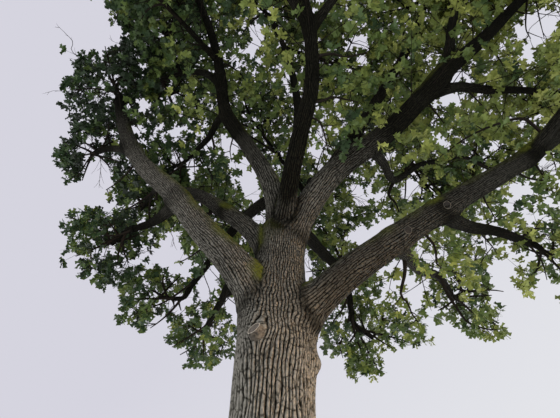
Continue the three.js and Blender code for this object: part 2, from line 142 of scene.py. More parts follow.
# Each limb: its name, its bearer, how far along that it leaves, length, girths, and its way.
LIMBS = [
    ("left_bough", "trunk", 0.66, 7520, (600, 260),
     [(194, 60), (166, 52), (168, 54), (170, 48), (178, 60), (182, 70)]),
    ("right_bough", "trunk", 0.65, 8120, (560, 200),
     [(342, 40), (350, 34), (354, 32), (352, 30), (356, 36), (354, 36)]),
    ("rising_right_bough", "trunk", 0.93, 8180, (500, 200),
     [(336, 54), (340, 34), (340, 44), (348, 44), (346, 46)]),
    ("rising_left_bough", "trunk", 0.94, 7340, (380, 150),
     [(234, 72), (180, 66), (186, 64), (234, 74), (226, 70), (216, 66)]),
    ("back_left_bough", "trunk", 0.84, 4340, (420, 180),
     [(160, 62), (158, 48), (152, 44), (150, 30)]),
    ("back_bough", "trunk", 0.89, 4980, (360, 180), [(68, 60), (74, 54), (76, 56)]),
    ("top_leader", "trunk", 0.96, 10020, (360, 160), [(12, 62), (6, 62), (344, 60), (342, 66)]),
    ("front_bough", "trunk", 0.94, 5720, (340, 160),
     [(280, 52), (286, 44), (292, 52), (268, 58), (252, 64), (260, 66)]),
    ("low_back_right_bough", "trunk", 0.88, 3920, (300, 130),
     [(42, 60), (60, 8), (56, -8), (76, -22)]),
    ("low_back_left_bough", "trunk", 0.96, 3880, (280, 120),
     [(164, 80), (134, 4), (132, -24), (134, -30)]),
    ("upright_leader", "trunk", 0.98, 7800, (260, 120), [(20, 82), (318, 86), (212, 82), (178, 78)]),
    ("lowest_left_bough", "trunk", 0.73, 4020, (240, 110),
     [(142, 60), (120, 26), (112, -6), (114, -8)]),
    ("left_low_branch", "left_bough", 0.46, 1340, (240, 130), [(136, -10), (140, -2), (154, 0)]),
    ("left_outer_branch", "left_bough", 0.74, 1340, (170, 100), [(164, 26), (160, 20), (150, 12)]),
    ("right_low_branch", "right_bough", 0.42, 2540, (260, 140), [(36, 6), (24, 8), (28, 2)]),
    ("right_hanging_branch", "right_bough", 0.30, 2900, (240, 120),
     [(58, 10), (56, 6), (42, 12), (56, -2)]),
    ("right_front_branch", "right_bough", 0.68, 2760, (200, 120), [(302, 24), (300, 28), (296, 32)]),
    ("upright_right_branch", "rising_right_bough", 0.56, 3600, (240, 120),
     [(334, 58), (320, 70), (324, 66), (324, 68)]),
    ("level_right_branch", "rising_right_bough", 0.51, 3560, (220, 120),
     [(2, 26), (14, 14), (10, 14), (14, 10)]),
    ("back_hanging_branch", "rising_right_bough", 0.32, 3480, (200, 100),
     [(56, 18), (60, 14), (6, 38), (14, 26)]),
    ("front_right_branch", "front_bough", 0.68, 2080, (170, 100), [(332, 54), (334, 56), (328, 58)]),
    ("front_left_branch", "front_bough", 0.70, 2180, (170, 100), [(222, 46), (220, 50), (220, 52)]),
    ("high_left_branch", "rising_left_bough", 0.60, 1980, (160, 100),
     [(174, 52), (162, 34), (152, 20)]),
    ("inner_left_branch", "rising_left_bough", 0.38, 2520, (200, 100),
     [(168, 56), (120, 10), (130, 6)]),
    ("back_left_branch", "back_left_bough", 0.47, 2200, (200, 120), [(108, 36), (108, 38), (108, 40)]),
    ("back_right_branch", "top_leader", 0.34, 2180, (200, 120), [(38, 30), (40, 32), (46, 36)]),
]


def trunk_radius(parts):
    heights, radii = zip(*TRUNK_RADII)
    return np.interp(parts * TRUNK_HEIGHT, heights, radii) * MM


def tapering(root, tip):
    return lambda parts: (root + (tip - root) * parts) / 2 * MM


# How far apart the rings lie, in metres, and the girth in mm and radius in m of a thick limb.
TRUNK_RINGS, THICK_RINGS, THIN_RINGS = 0.06, 0.08, 0.10
THICK_GIRTH, THICK_RADIUS = 300, 0.15

trunk_corners = way_points(np.zeros(3), TRUNK_HEIGHT * MM, TRUNK_WAY)
wood = {"trunk": line_up(trunk_corners, trunk_radius, TRUNK_RINGS)}
wood["trunk"]["bearer"] = None
for name, bearer, at, length, girths, way in LIMBS:
    start = on_curve(wood[bearer]["corners"], at)[0][0]
    spacing = THICK_RINGS if girths[0] > THICK_GIRTH else THIN_RINGS
    wood[name] = line_up(way_points(start, length * MM, way), tapering(*girths), spacing)
    wood[name]["bearer"] = bearer
for number, (name, limb) in enumerate(wood.items()):
    limb["name"], limb["number"] = name, number
highest = max(limb["middles"][-1][2] for limb in wood.values())
print("limbs:", len(wood), "highest limb tip:", round(highest, 2))

# %% [markdown]
# Oak bark is dead cork that splits as the wood under it swells. It stands in long rounded ridges
# with dark furrows between them, 5 to 8 cm apart on an old trunk and closer on the boughs. A bump
# map alone would leave the outline smooth, so the ridges are moved out of the mesh itself. Each
# limb has a whole number of them, and slow noise makes them sway, join and part as real ones do.

# %% Repeatable patterns
def cell_value(cells, seed):
    """A repeatable number between 0 and 1 for each whole-numbered cell."""
    c = cells.astype(np.int64).astype(np.uint32)
    mixed = (c[..., 0] * np.uint32(73856093)) ^ (c[..., 1] * np.uint32(19349663))
    mixed ^= (c[..., 2] * np.uint32(83492791)) ^ np.uint32(seed * 7919 + 12345)
    mixed = (mixed ^ (mixed >> np.uint32(15))) * np.uint32(2246822519)
    mixed = (mixed ^ (mixed >> np.uint32(13))) * np.uint32(3266489917)
    return (mixed ^ (mixed >> np.uint32(16))) / 4294967295.0


def wander(places, seed):
    """Smooth noise between -1 and 1 that changes over one unit."""
    low = np.floor(places)
    t = places - low
    t = t * t * (3 - 2 * t)
    total = np.zeros(len(places))
    for corner in np.ndindex(2, 2, 2):
        share = np.prod(np.where(corner, t, 1 - t), axis=1)
        total += share * cell_value(low + corner, seed)
    return 2 * total - 1


def smooth_step(low, high, values):
    t = np.clip((values - low) / (high - low), 0, 1)
    return t * t * (3 - 2 * t)


print("noise at a place:", wander(np.full((1, 3), 0.4), 1).round(2))

# %% [markdown]
# Where a bough leaves the trunk the wood flows from one into the other in a wide collar. Sculpting
# or a voxel remesh could melt the tubes together, but would lose the long bark faces that follow
# each limb. Instead each tube keeps its own rings, and every point near a junction is moved out
# to where a smooth union of the limbs would have its skin. Past the line halfway to the other
# limb the point dives under that limb's skin, so that the two tubes meet along that line.

# %% Distances to limbs
# In metres: the width of a collar, the band in which two patterns mix, and the legs of a line.
COLLAR = 0.24
PATTERN_BLEND = 0.09
LINE_STEP = 0.16

for name, limb in wood.items():
    count = max(4, round(limb["along"][-1] / LINE_STEP))
    limb["knots"] = np.unique(np.linspace(0, len(limb["middles"]) - 1, count).astype(int))


def nearest_on(limb, places):
    """For each place: how far a limb's middle line is, and the position of its nearest point."""
    corners = limb["middles"][limb["knots"]]
    best = np.full(len(places), np.inf)
    position = np.zeros(len(places))
    for i, (start, leg) in enumerate(zip(corners[:-1], np.diff(corners, axis=0))):
        t = np.clip((places - start) @ leg / leg.dot(leg), 0, 1)
        away = ((places - start - t[:, None] * leg) ** 2).sum(axis=1)
        closer = away < best
        best[closer] = away[closer]
        position[closer] = (i + t)[closer]
    return np.sqrt(best), np.interp(position, np.arange(len(corners)), limb["knots"])


def between(values, position):
    """Values of a limb's rings at positions between the rings."""
    index = np.arange(len(values))
    if values.ndim == 1:
        return np.interp(position, index, values)
    return np.stack([np.interp(position, index, column) for column in values.T], axis=1)


def depth_under(limb, places):
    """Signed distance from a limb's plain skin, positive outside, with the position along it."""
    away, position = nearest_on(limb, places)
    return away - between(limb["radii"], position), position


# Limbs on one bearer may share a junction where their roots lie this near each other, in metres.
NEIGHBOURS_WITHIN = 1.6


def kin_of(limb):
    """The limbs that may share a junction with this one: bearer, borne, and near neighbours."""
    kin = []
    for other in wood.values():
        borne = other["bearer"] == limb["name"] or other["name"] == limb["bearer"]
        beside = limb["bearer"] and other["bearer"] == limb["bearer"] and other is not limb
        near = np.linalg.norm(other["middles"][0] - limb["middles"][0]) < NEIGHBOURS_WITHIN
        if borne or beside and near:
            kin.append(other)
    return kin


def soft_union(one, other, collar):
    """The smooth union of signed distances: the skin swells where two limbs run close."""
    reach = np.maximum(collar - np.abs(one - other), 0) / collar
    return np.minimum(one, other) - reach**2 * collar / 4


print("limbs that meet the trunk:", len(kin_of(wood["trunk"])))

# %% [markdown]
# Two marks stand out on the bole: a swelling burl on its right, and in front the ring of callus
# that has closed round the stub of a pruned bough. The burl is a smooth swelling of the skin. The
# ridges part round the cut as water parts round a pile, so the bark's own measure of the angle
# round the bole follows the stream lines round a cylinder there.

# %% Marks on the bole
# In metres: a mark's height, the width and rise of its swelling, and the radius of the cut's face.
BURL = {"height": 3.68, "heading": 355, "reach": 0.17, "proud": 0.075}
SCAR = {"height": 3.97, "heading": 243, "reach": 0.24, "proud": 0.050, "face": 0.092}

# The ridges stand out from the bole's skin, so the skin itself lies a little inside the part's.
BOLE_INSET = 0.04


def mark_middle(mark):
    """The middle of a mark on the bole's skin."""
    part = mark["height"] * 1000 / TRUNK_HEIGHT
    middle, _ = on_curve(wood["trunk"]["corners"], part)
    return middle[0] + pointing(mark["heading"], 0) * (trunk_radius(part) - BOLE_INSET)


# The cut's face looks up and to the left: how proud it stands, where it faces, and its middle.
CUT_PROUD = 0.038
CUT_FACING = pointing(229, 30)
CUT_MIDDLE = mark_middle(SCAR) + pointing(SCAR["heading"], 0) * (SCAR["proud"] + CUT_PROUD)


SWELLING_FALL = 1.4


def swelling(places, mark):
    """How far a mark pushes these places out of the bole."""
    away = np.linalg.norm(places - mark_middle(mark), axis=1) / mark["reach"]
    return mark["proud"] * np.exp(-away**2 * SWELLING_FALL)


print("middle of the pruned cut:", CUT_MIDDLE.round(2))

# %% [markdown]
# Bark grows with the limb under it, so its pattern follows the limb and not the height above the
# ground. An unwrapped image would leave a seam. Instead each place is measured in the bark's own
# terms: where it lies round the limb in ridge spacings, and how many ridge lengths along it.

# %% The bark's own measure of place
# Ridge spacing and ridge length in metres where a limb starts: bole, fork, bough and branch.
BOLE_RIDGE, FORK_RIDGE = (0.060, 0.80), (0.060, 0.27)
BOUGH_RIDGE, BRANCH_RIDGE = (0.046, 0.55), (0.030, 0.35)
FORK_FROM, FORK_TO = 3.5, 4.3
RELIEF_OF_SPACING = 0.50

# The bole's ridges are counted at this radius, and a bough's grow shorter by this share to its tip.
BOLE_RADIUS, SHORTER_AT_TIP = 0.6, 0.3

# Each limb reads a stretch of the noise of its own, so that no two are alike.
PATTERN_SHIFT = 10


def ridge_sizes(limb):
    """The spacing at a limb's start, and the length of its ridges at each of its rings."""
    if limb["name"] == "trunk":
        fork = smooth_step(FORK_FROM, FORK_TO, limb["along"])
        return BOLE_RIDGE[0], BOLE_RIDGE[1] + (FORK_RIDGE[1] - BOLE_RIDGE[1]) * fork
    spacing, length = BOUGH_RIDGE if limb["radii"][0] > THICK_RADIUS else BRANCH_RIDGE
    return spacing, length * (1 - SHORTER_AT_TIP * limb["along"] / limb["along"][-1])


def measure_bark(limb):
    """Adds a limb's turned frames, its number of ridges, and the ridge lengths run through."""
    limb["across"], limb["over"] = turned_frames(limb["middles"], limb["ahead"])
    spacing, length = ridge_sizes(limb)
    girth = 2 * math.pi * (BOLE_RADIUS if limb["name"] == "trunk" else limb["radii"][0])
    limb["ridges"] = round(girth / spacing)
    run = np.append(0, np.cumsum(np.diff(limb["along"]) / length[1:]))
    limb["lengths"] = PATTERN_SHIFT * limb["number"] + run


for limb in wood.values():
    measure_bark(limb)


# The ridges part round a circle of this many face radii.
PARTING = 1.3


def round_the_cut(limb, angle, radius, heights):
    """The angle round the bole on the stream line that passes the pruned cut."""
    towards = mark_middle(SCAR) - limb["middles"][0]
    cut_angle = math.atan2(towards.dot(limb["over"][0]), towards.dot(limb["across"][0]))
    turn = (angle - cut_angle + math.pi) % (2 * math.pi) - math.pi
    away = np.maximum(np.hypot(turn * radius, heights - SCAR["height"]), 0.01)
    return cut_angle + turn * (1 - np.minimum(SCAR["face"] * PARTING / away, 1) ** 2)


def bark_places(limb, places, position):
    """Where places lie in a limb's own bark: round it in ridge spacings, along it in lengths."""
    out = places - between(limb["middles"], position)
    angle = np.arctan2((out * between(limb["over"], position)).sum(axis=1),
                       (out * between(limb["across"], position)).sum(axis=1))
    if limb["name"] == "trunk":
        angle = round_the_cut(limb, angle, between(limb["radii"], position), places[:, 2])
    wide = limb["ridges"] / (2 * math.pi)
    return np.stack([wide * np.cos(angle), wide * np.sin(angle), between(limb["lengths"], position)],
                    axis=1)


# How dark the bark is drawn from a limb's root to its tip, in even steps, from 0 for old pale
# bark to 1 for young bark made near black by painted shade of the crown.
DARKNESS = {"trunk": (-0.3, 0.6), "left_bough": (0.50, 0.46, 0.48, 1.1), "right_bough": (0.74, 0.96),
            "rising_right_bough": (0.25, 2.2), "rising_left_bough": (0.40, 1.8),
            "back_left_bough": (0.62, 0.8), "top_leader": (0.8, 1.1), "back_hanging_branch": (0.7, 1.0),
            "right_hanging_branch": (0.65, 0.9), "front_bough": (1.0, 1.2)}
# Limbs not listed are drawn dark: young bark in painted shade.
YOUNG_AND_SHADED = (0.9, 1.05)


def darkness_of(limb, position):
    """Young bark and painted shade along a limb. A stem starts as dark as the tip of its bearer."""
    bearer_tip = DARKNESS.get(limb["bearer"], YOUNG_AND_SHADED)[-1]
    steps = DARKNESS.get(limb["name"], YOUNG_AND_SHADED if limb["name"] in wood else (bearer_tip, YOUNG_AND_SHADED[-1]))
    share = between(limb["along"], position) / limb["along"][-1]
    return np.clip(np.interp(share, np.linspace(0, 1, len(steps)), steps), 0, 1)


def relief_of(limb, position):
    """How deep the furrows are: a share of the ridge spacing there."""
    return RELIEF_OF_SPACING * 2 * math.pi * between(limb["radii"], position) / limb["ridges"]


# %% Skins
def closed_end(limb, rings=4):
    """Middles and shares of the radius for the rings that round off a limb's tip."""
    turns = np.linspace(0, math.pi / 2, rings + 1)[1:]
    lift = np.sin(turns)[:, None] * limb["radii"][-1] * 0.5 * limb["ahead"][-1]
    return limb["middles"][-1] + lift, np.maximum(np.cos(turns), 0.02)


# A limb swells towards its root over this length in metres. The left bough's root is slim.
ROOT_SWELL, SLIM_ROOT_SWELL, SWELL_LENGTH = 0.28, -0.10, 0.45

# Between these heights in metres the bole draws in by its inset.
INSET_HEIGHTS = (2.2, 3.2)

# No limb is quite round: by what share of its radius, and the first seed of the noise for it.
UNEVEN, UNEVEN_SEED = 0.045, 40


def plain_skin(limb, around):
    """Rings along a limb before it meets another: middles, directions out, reach and position."""
    tips, shares = closed_end(limb)
    middles = np.vstack([limb["middles"], tips])
    radii = np.append(limb["radii"], limb["radii"][-1] * shares)
    last = len(limb["radii"]) - 1
    ring_of = np.append(np.arange(last + 1), np.full(len(tips), last))
    turn = np.linspace(0, 2 * math.pi, around, endpoint=False)
    across, over = limb["across"][ring_of][:, None], limb["over"][ring_of][:, None]
    out = (np.cos(turn)[:, None] * across + np.sin(turn)[:, None] * over).reshape(-1, 3)
    base = np.repeat(middles, around, axis=0)
    position = np.repeat(ring_of.astype(float), around)
    reach = np.repeat(radii, around)
    if limb["name"] == "trunk":
        flare = np.clip(1 - base[:, 2] / (FLARE_HEIGHT * MM), 0, 1)
        reach = reach * (1 + FLARE_DEPTH * flare * np.cos(FLARE_LOBES * np.tile(turn, len(middles))))
        reach = reach - BOLE_INSET * smooth_step(*INSET_HEIGHTS, base[:, 2])
    if limb["bearer"]:
        swell = SLIM_ROOT_SWELL if limb["name"] == "left_bough" else ROOT_SWELL
        reach = reach * (1 + swell * np.exp(-between(limb["along"], position) / SWELL_LENGTH))
    reach = reach * (1 + UNEVEN * wander(base * 1.1 + out * 1.6, UNEVEN_SEED + limb["number"]))
    return base, out, reach, position


def limbs_near(kin, places):
    """Each limb that some of these places lie within a collar of, with their numbers."""
    pairs = []
    for other in kin:
        gap, _ = depth_under(other, places)
        if (gap < COLLAR).any():
            pairs.append((other, np.flatnonzero(gap < COLLAR)))
    return pairs


# The skin is moved to the smooth union in a few strides, and sinks past the line between limbs.
UNION_STRIDES, STRIDE, SINKING = 6, 0.8, 0.5

# A collar is full on a limb of this radius in metres, and narrower on a thinner one.
FULL_COLLAR_RADIUS, LEAST_COLLAR = 0.3, 0.35


def joined_reach(limb, pairs, base, out, reach):
    """How far out a limb's skin lies once it flows into the limbs near it."""
    collar = COLLAR * np.clip(limb["radii"][0] / FULL_COLLAR_RADIUS, LEAST_COLLAR, 1)
    final = reach.copy()
    for _ in range(UNION_STRIDES if pairs else 0):
        own = final - reach
        union, closest = own.copy(), np.full(len(own), np.inf)
        for other, index in pairs:
            gap, _ = depth_under(other, base[index] + out[index] * final[index, None])
            union[index] = soft_union(union[index], gap, collar)
            closest[index] = np.minimum(closest[index], gap)
        sunk = SINKING * np.maximum(0, own - closest)
        final = np.clip(final - STRIDE * (union + sunk), 0.4 * reach, reach + 0.5)
    return final


# How much painted shade darkens a crotch, and how wide it and the change of bark colour are, in
# metres.
CROTCH_PAINTED_SHADE = 0.45
CROTCH_WIDTH, CHANGE_WIDTH = 0.16, 0.3


def bark_fields(limb, pairs, places, position, own, out):
    """What pattern and relief need at each place, and how near it is to where limbs meet."""
    bark = bark_places(limb, places, position)
    depth, dark = relief_of(limb, position), darkness_of(limb, position)
    there, share, meeting = bark.copy(), np.zeros(len(places)), np.zeros(len(places))
    nearest = np.full(len(places), np.inf)
    for other, index in pairs:
        gap, other_position = depth_under(other, places[index])
        nearer = gap < nearest[index]
        index, gap, other_position = index[nearer], gap[nearer], other_position[nearer]
        nearest[index] = gap
        lead = own[index] - gap
        there[index] = bark_places(other, places[index], other_position)
        share[index] = smooth_step(-PATTERN_BLEND, PATTERN_BLEND, lead)
        depth[index] += share[index] * (relief_of(other, other_position) - depth[index])
        mixed = 0.5 * (1 - np.clip(np.abs(lead) / CHANGE_WIDTH, 0, 1))
        dark[index] += mixed * (darkness_of(other, other_position) - dark[index])
        meeting[index] = 1 - np.clip(np.abs(lead) / CROTCH_WIDTH, 0, 1)
    # Painted shade where the limbs meet.
    dark = np.minimum(dark + CROTCH_PAINTED_SHADE * meeting**2, 1)
    return {"bark": bark, "there": there, "share": share, "depth": depth, "out": out,
            "dark": dark}, meeting


# The bole is cut away behind the pruned cut, this deep in metres. Distances are in face radii:
# from where to where the cutting fades, and from where to where the furrows come back.
BEHIND_THE_CUT = 0.03
CUTTING_FADES, FURROWS_RETURN = (1.7, 1.25), (0.9, 1.5)


def marked_bole(places, out, depth):
    """The bole's skin with burl and cut, and its furrows without those under the cut."""
    for mark in (BURL, SCAR):
        places = places + out * swelling(places, mark)[:, None]
    over_cut = (places - CUT_MIDDLE) @ CUT_FACING + BEHIND_THE_CUT
    away = np.linalg.norm(places - CUT_MIDDLE, axis=1) / SCAR["face"]
    places = places - out * (np.maximum(over_cut, 0) * smooth_step(*CUTTING_FADES, away))[:, None]
    places[:, 2] = np.maximum(places[:, 2], 0)
    return places, depth * smooth_step(*FURROWS_RETURN, away)


def skin_of(limb, kin, around):
    """A limb's skin in rings: its places, and what the bark's pattern and relief need at each."""
    base, out, reach, position = plain_skin(limb, around)
    pairs = limbs_near(kin, base + out * reach[:, None])
    final = joined_reach(limb, pairs, base, out, reach)
    places = base + out * final[:, None]
    fields, meeting = bark_fields(limb, pairs, places, position, final - reach, out)
    if limb["name"] == "trunk":
        places, fields["depth"] = marked_bole(places, out, fields["depth"])
    return {"places": places, "faces": ring_faces(len(base) // around, around), "meeting": meeting,
            "fields": fields}


def ring_faces(rows, around):
    """Four-cornered faces between neighbouring rings, facing out."""
    ring, place = np.meshgrid(np.arange(rows - 1), np.arange(around), indexing="ij")
    a = ring * around + place
    b = ring * around + (place + 1) % around
    return np.stack([a, b, b + around, a + around], axis=-1).reshape(-1, 4)


# %% [markdown]
# A mesh can be modelled by hand or built by modifiers. Here places and faces are already worked
# out as arrays, so they are handed over whole, which is quick even for a hundred thousand leaves.
# What a place knows about its bark goes along as attributes that nodes can read.

# %% Meshes from arrays
def mesh_piece(name, places, faces, materials, face_materials=None, fields=None):
    """A mesh object from arrays: faces come as arrays of 3 or 4 corners, fields as attributes."""
    mesh = bpy.data.meshes.new(name)
    corners = np.concatenate([part.reshape(-1) for part in faces]).astype(np.int32)
    sizes = np.concatenate([np.full(len(part), part.shape[1]) for part in faces])
    mesh.vertices.add(len(places))
    mesh.vertices.foreach_set("co", np.asarray(places, np.float32).reshape(-1))
    mesh.loops.add(len(corners))
    mesh.loops.foreach_set("vertex_index", corners)
    mesh.polygons.add(len(sizes))
    mesh.polygons.foreach_set("loop_start", np.append(0, np.cumsum(sizes)[:-1]).astype(np.int32))
    mesh.polygons.foreach_set("use_smooth", np.ones(len(sizes), bool))
    for material in materials:
        mesh.materials.append(material)
    if face_materials is not None:
        mesh.polygons.foreach_set("material_index", face_materials.astype(np.int32))
    for key, values in (fields or {}).items():
        kind = "FLOAT_VECTOR" if values.ndim == 2 else "FLOAT"
        field = "vector" if values.ndim == 2 else "value"
        store = mesh.attributes.new(key, kind, "POINT")
        store.data.foreach_set(field, np.asarray(values, np.float32).reshape(-1))
    mesh.update(calc_edges=True)
    piece = bpy.data.objects.new(name, mesh)
    bpy.context.scene.collection.objects.link(piece)
    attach(piece, "root")
    return piece


def triangles_of(piece):
    """How many triangles a piece's faces make."""
    return sum(len(face.vertices) - 2 for face in piece.data.polygons)


# %% [markdown]
# A material is named for what it is on the real tree. Colours are written as the sRGB values that
# one reads off a photograph and turned to linear light for the shader.

# %% Colours and nodes
def linear(hex_colour):
    """An sRGB hex colour as linear red, green, blue and alpha."""
    values = [int(hex_colour[i:i + 2], 16) / 255 for i in (1, 3, 5)]
    return tuple(v / 12.92 if v <= 0.04045 else ((v + 0.055) / 1.055) ** 2.4 for v in values) + (1.0,)


def add_node(tree, kind, settings=None, sockets=None):
    """A node with its settings. Each socket gets a value, or a link from the output given.

    Sockets that share a name go by number: a mix has its numbers at 2 and 3, its colours at 6 and 7.
    """
    node = tree.nodes.new(kind)
    for key, value in (settings or {}).items():
        setattr(node, key, value)
    for key, value in (sockets or {}).items():
        if isinstance(value, bpy.types.NodeSocket):
            tree.links.new(value, node.inputs[key])
        else:
            node.inputs[key].default_value = value
    return node


def new_material(name):
    """A material, its node tree and its Principled shader."""
    material = bpy.data.materials.new(name)
    material.use_nodes = True
    return material, material.node_tree, material.node_tree.nodes["Principled BSDF"]


# %% [markdown]
# The ridge pattern is drawn twice: Geometry Nodes push the mesh out by it, and the material
# colours it. Both trees get the same nodes from one function, so relief and colour fall on each
# other. A whole number of ridges runs round each limb. Noise sways them, and where it sways one
# ridge into the next they join and fork. The borders of short cells add the cracks that cut the
# ridges into plates. Near a junction the pattern of the other limb is mixed in.

# %% The ridge pattern
def fields_of(tree, **kinds):
    """The outputs that read these attributes of the mesh, in a material or in Geometry Nodes."""
    outputs = []
    for key, kind in kinds.items():
        if tree.type == "SHADER":
            node = add_node(tree, "ShaderNodeAttribute", {"attribute_name": key})
            outputs.append(node.outputs["Fac" if kind == "FLOAT" else "Vector"])
        else:
            node = add_node(tree, "GeometryNodeInputNamedAttribute", {"data_type": kind}, {"Name": key})
            outputs.append(next(output for output in node.outputs if output.enabled))
    return outputs


def ridge_height(tree, bark):
    """0 in a furrow and 1 on a crest, at these places in the bark's own measure."""
    parts = add_node(tree, "ShaderNodeSeparateXYZ", None, {0: bark}).outputs
    turn = add_node(tree, "ShaderNodeMath", {"operation": "ARCTAN2"}, {0: parts[1], 1: parts[0]})
    level = add_node(tree, "ShaderNodeVectorMath", {"operation": "MULTIPLY"}, {0: bark, 1: (1, 1, 0)})
    wide = add_node(tree, "ShaderNodeVectorMath", {"operation": "LENGTH"}, {0: level.outputs[0]})
    ridge = add_node(tree, "ShaderNodeMath", {"operation": "MULTIPLY"},
                     {0: turn.outputs[0], 1: wide.outputs["Value"]})
    slow = add_node(tree, "ShaderNodeVectorMath", {"operation": "MULTIPLY"},
                    {0: bark, 1: (0.30, 0.30, 1.5)})
    sway = add_node(tree, "ShaderNodeTexNoise", None,
                    {"Vector": slow.outputs[0], "Scale": 1.0, "Detail": 4.0, "Roughness": 0.42})
    swayed = add_node(tree, "ShaderNodeMath", {"operation": "MULTIPLY_ADD"},
                      {0: sway.outputs["Fac"], 1: 2.6, 2: ridge.outputs[0]})
    along = add_node(tree, "ShaderNodeMath", {"operation": "PINGPONG"}, {0: swayed.outputs[0], 1: 0.5})
    rise = add_node(tree, "ShaderNodeMapRange", {"interpolation_type": "SMOOTHSTEP"},
                    {"Value": along.outputs[0], "From Min": 0.03, "From Max": 0.26})
    short = add_node(tree, "ShaderNodeVectorMath", {"operation": "MULTIPLY"},
                     {0: bark, 1: (0.75, 0.75, 4.5)})
    wavy = add_node(tree, "ShaderNodeVectorMath", {"operation": "MULTIPLY_ADD"},
                    {0: sway.outputs["Color"], 1: (1.5, 1.5, 1.5), 2: short.outputs[0]})
    plates = add_node(tree, "ShaderNodeTexVoronoi", {"feature": "DISTANCE_TO_EDGE"},
                      {"Vector": wavy.outputs[0], "Scale": 1.0, "Randomness": 1.0})
    unbroken = add_node(tree, "ShaderNodeMapRange", {"interpolation_type": "SMOOTHSTEP"},
                        {"Value": plates.outputs["Distance"], "From Max": 0.10, "To Min": 0.45})
    return add_node(tree, "ShaderNodeMath", {"operation": "MULTIPLY"},
                    {0: rise.outputs[0], 1: unbroken.outputs[0]}).outputs[0]


def blended_ridges(tree):
    """The ridges of a limb, giving way to those of the limb that it meets."""
    bark, there, share = fields_of(tree, bark="FLOAT_VECTOR", there="FLOAT_VECTOR", share="FLOAT")
    blend = add_node(tree, "ShaderNodeMix", None,
                     {0: share, 2: ridge_height(tree, bark), 3: ridge_height(tree, there)})
    return blend.outputs[0]


def bark_relief():
    """Geometry Nodes that raise the ridges out of a limb's skin."""
    tree = bpy.data.node_groups.new("bark relief", "GeometryNodeTree")
    tree.interface.new_socket("Geometry", in_out="INPUT", socket_type="NodeSocketGeometry")
    tree.interface.new_socket("Geometry", in_out="OUTPUT", socket_type="NodeSocketGeometry")
    skin, done = tree.nodes.new("NodeGroupInput"), tree.nodes.new("NodeGroupOutput")
    depth, out = fields_of(tree, depth="FLOAT", out="FLOAT_VECTOR")
    level = add_node(tree, "ShaderNodeMath", {"operation": "SUBTRACT"}, {0: blended_ridges(tree), 1: 0.6})
    lift = add_node(tree, "ShaderNodeMath", {"operation": "MULTIPLY"}, {0: level.outputs[0], 1: depth})
    offset = add_node(tree, "ShaderNodeVectorMath", {"operation": "SCALE"},
                      {0: out, "Scale": lift.outputs[0]})
    moved = add_node(tree, "GeometryNodeSetPosition", None,
                     {"Geometry": skin.outputs[0], "Offset": offset.outputs[0]})
    tree.links.new(moved.outputs[0], done.inputs[0])
    return tree


relief = bark_relief()


def raise_ridges(piece):
    """Runs the relief on a piece and keeps the result as its mesh."""
    piece.modifiers.new("relief", "NODES").node_group = relief
    now = bpy.context.evaluated_depsgraph_get()
    raised = bpy.data.meshes.new_from_object(piece.evaluated_get(now))
    piece.modifiers.clear()
    piece.data = raised


# %% [markdown]
# Furrowed oak bark is matt cork: weathered silver-grey on the crests, where rain and light bleach
# it and crusts of lichen grow, and dark brown in the furrows, drawn darker still as painted shade
# in the cracks. Green algae and moss cover it where water runs and stands, in the crotches and on
# the upper side of leaning boughs. Higher up the limbs the bark is drawn darker: partly the darker
# young bark, mostly painted shade of the crown. The crotches get painted shade too.

# %% Furrowed oak bark
BARK_ROUGHNESS = 0.88
CORK_IOR, CORK_SHINE = 1.45, 0.10
CRUST_MM, GRAIN_MM, TONE_MM = 40, 8, 600


# Where furrow, flank and crest lie on the height of the ridges. The furrow colour is partly the
# bark's own brown and partly painted shade in the cracks.
FURROW_AT, FLANK_AT, CREST_AT = 0.05, 0.50, 0.95


def height_ramp(tree, height, colours):
    """The colours of furrow, flank and crest along the height of the ridges."""
    ramp = add_node(tree, "ShaderNodeValToRGB", None, {"Fac": height})
    stops = ramp.color_ramp.elements
    stops[0].position, stops[0].color = FURROW_AT, linear(colours[0])
    stops[1].position, stops[1].color = FLANK_AT, linear(colours[1])
    stops.new(CREST_AT).color = linear(colours[2])
    return ramp.outputs["Color"]


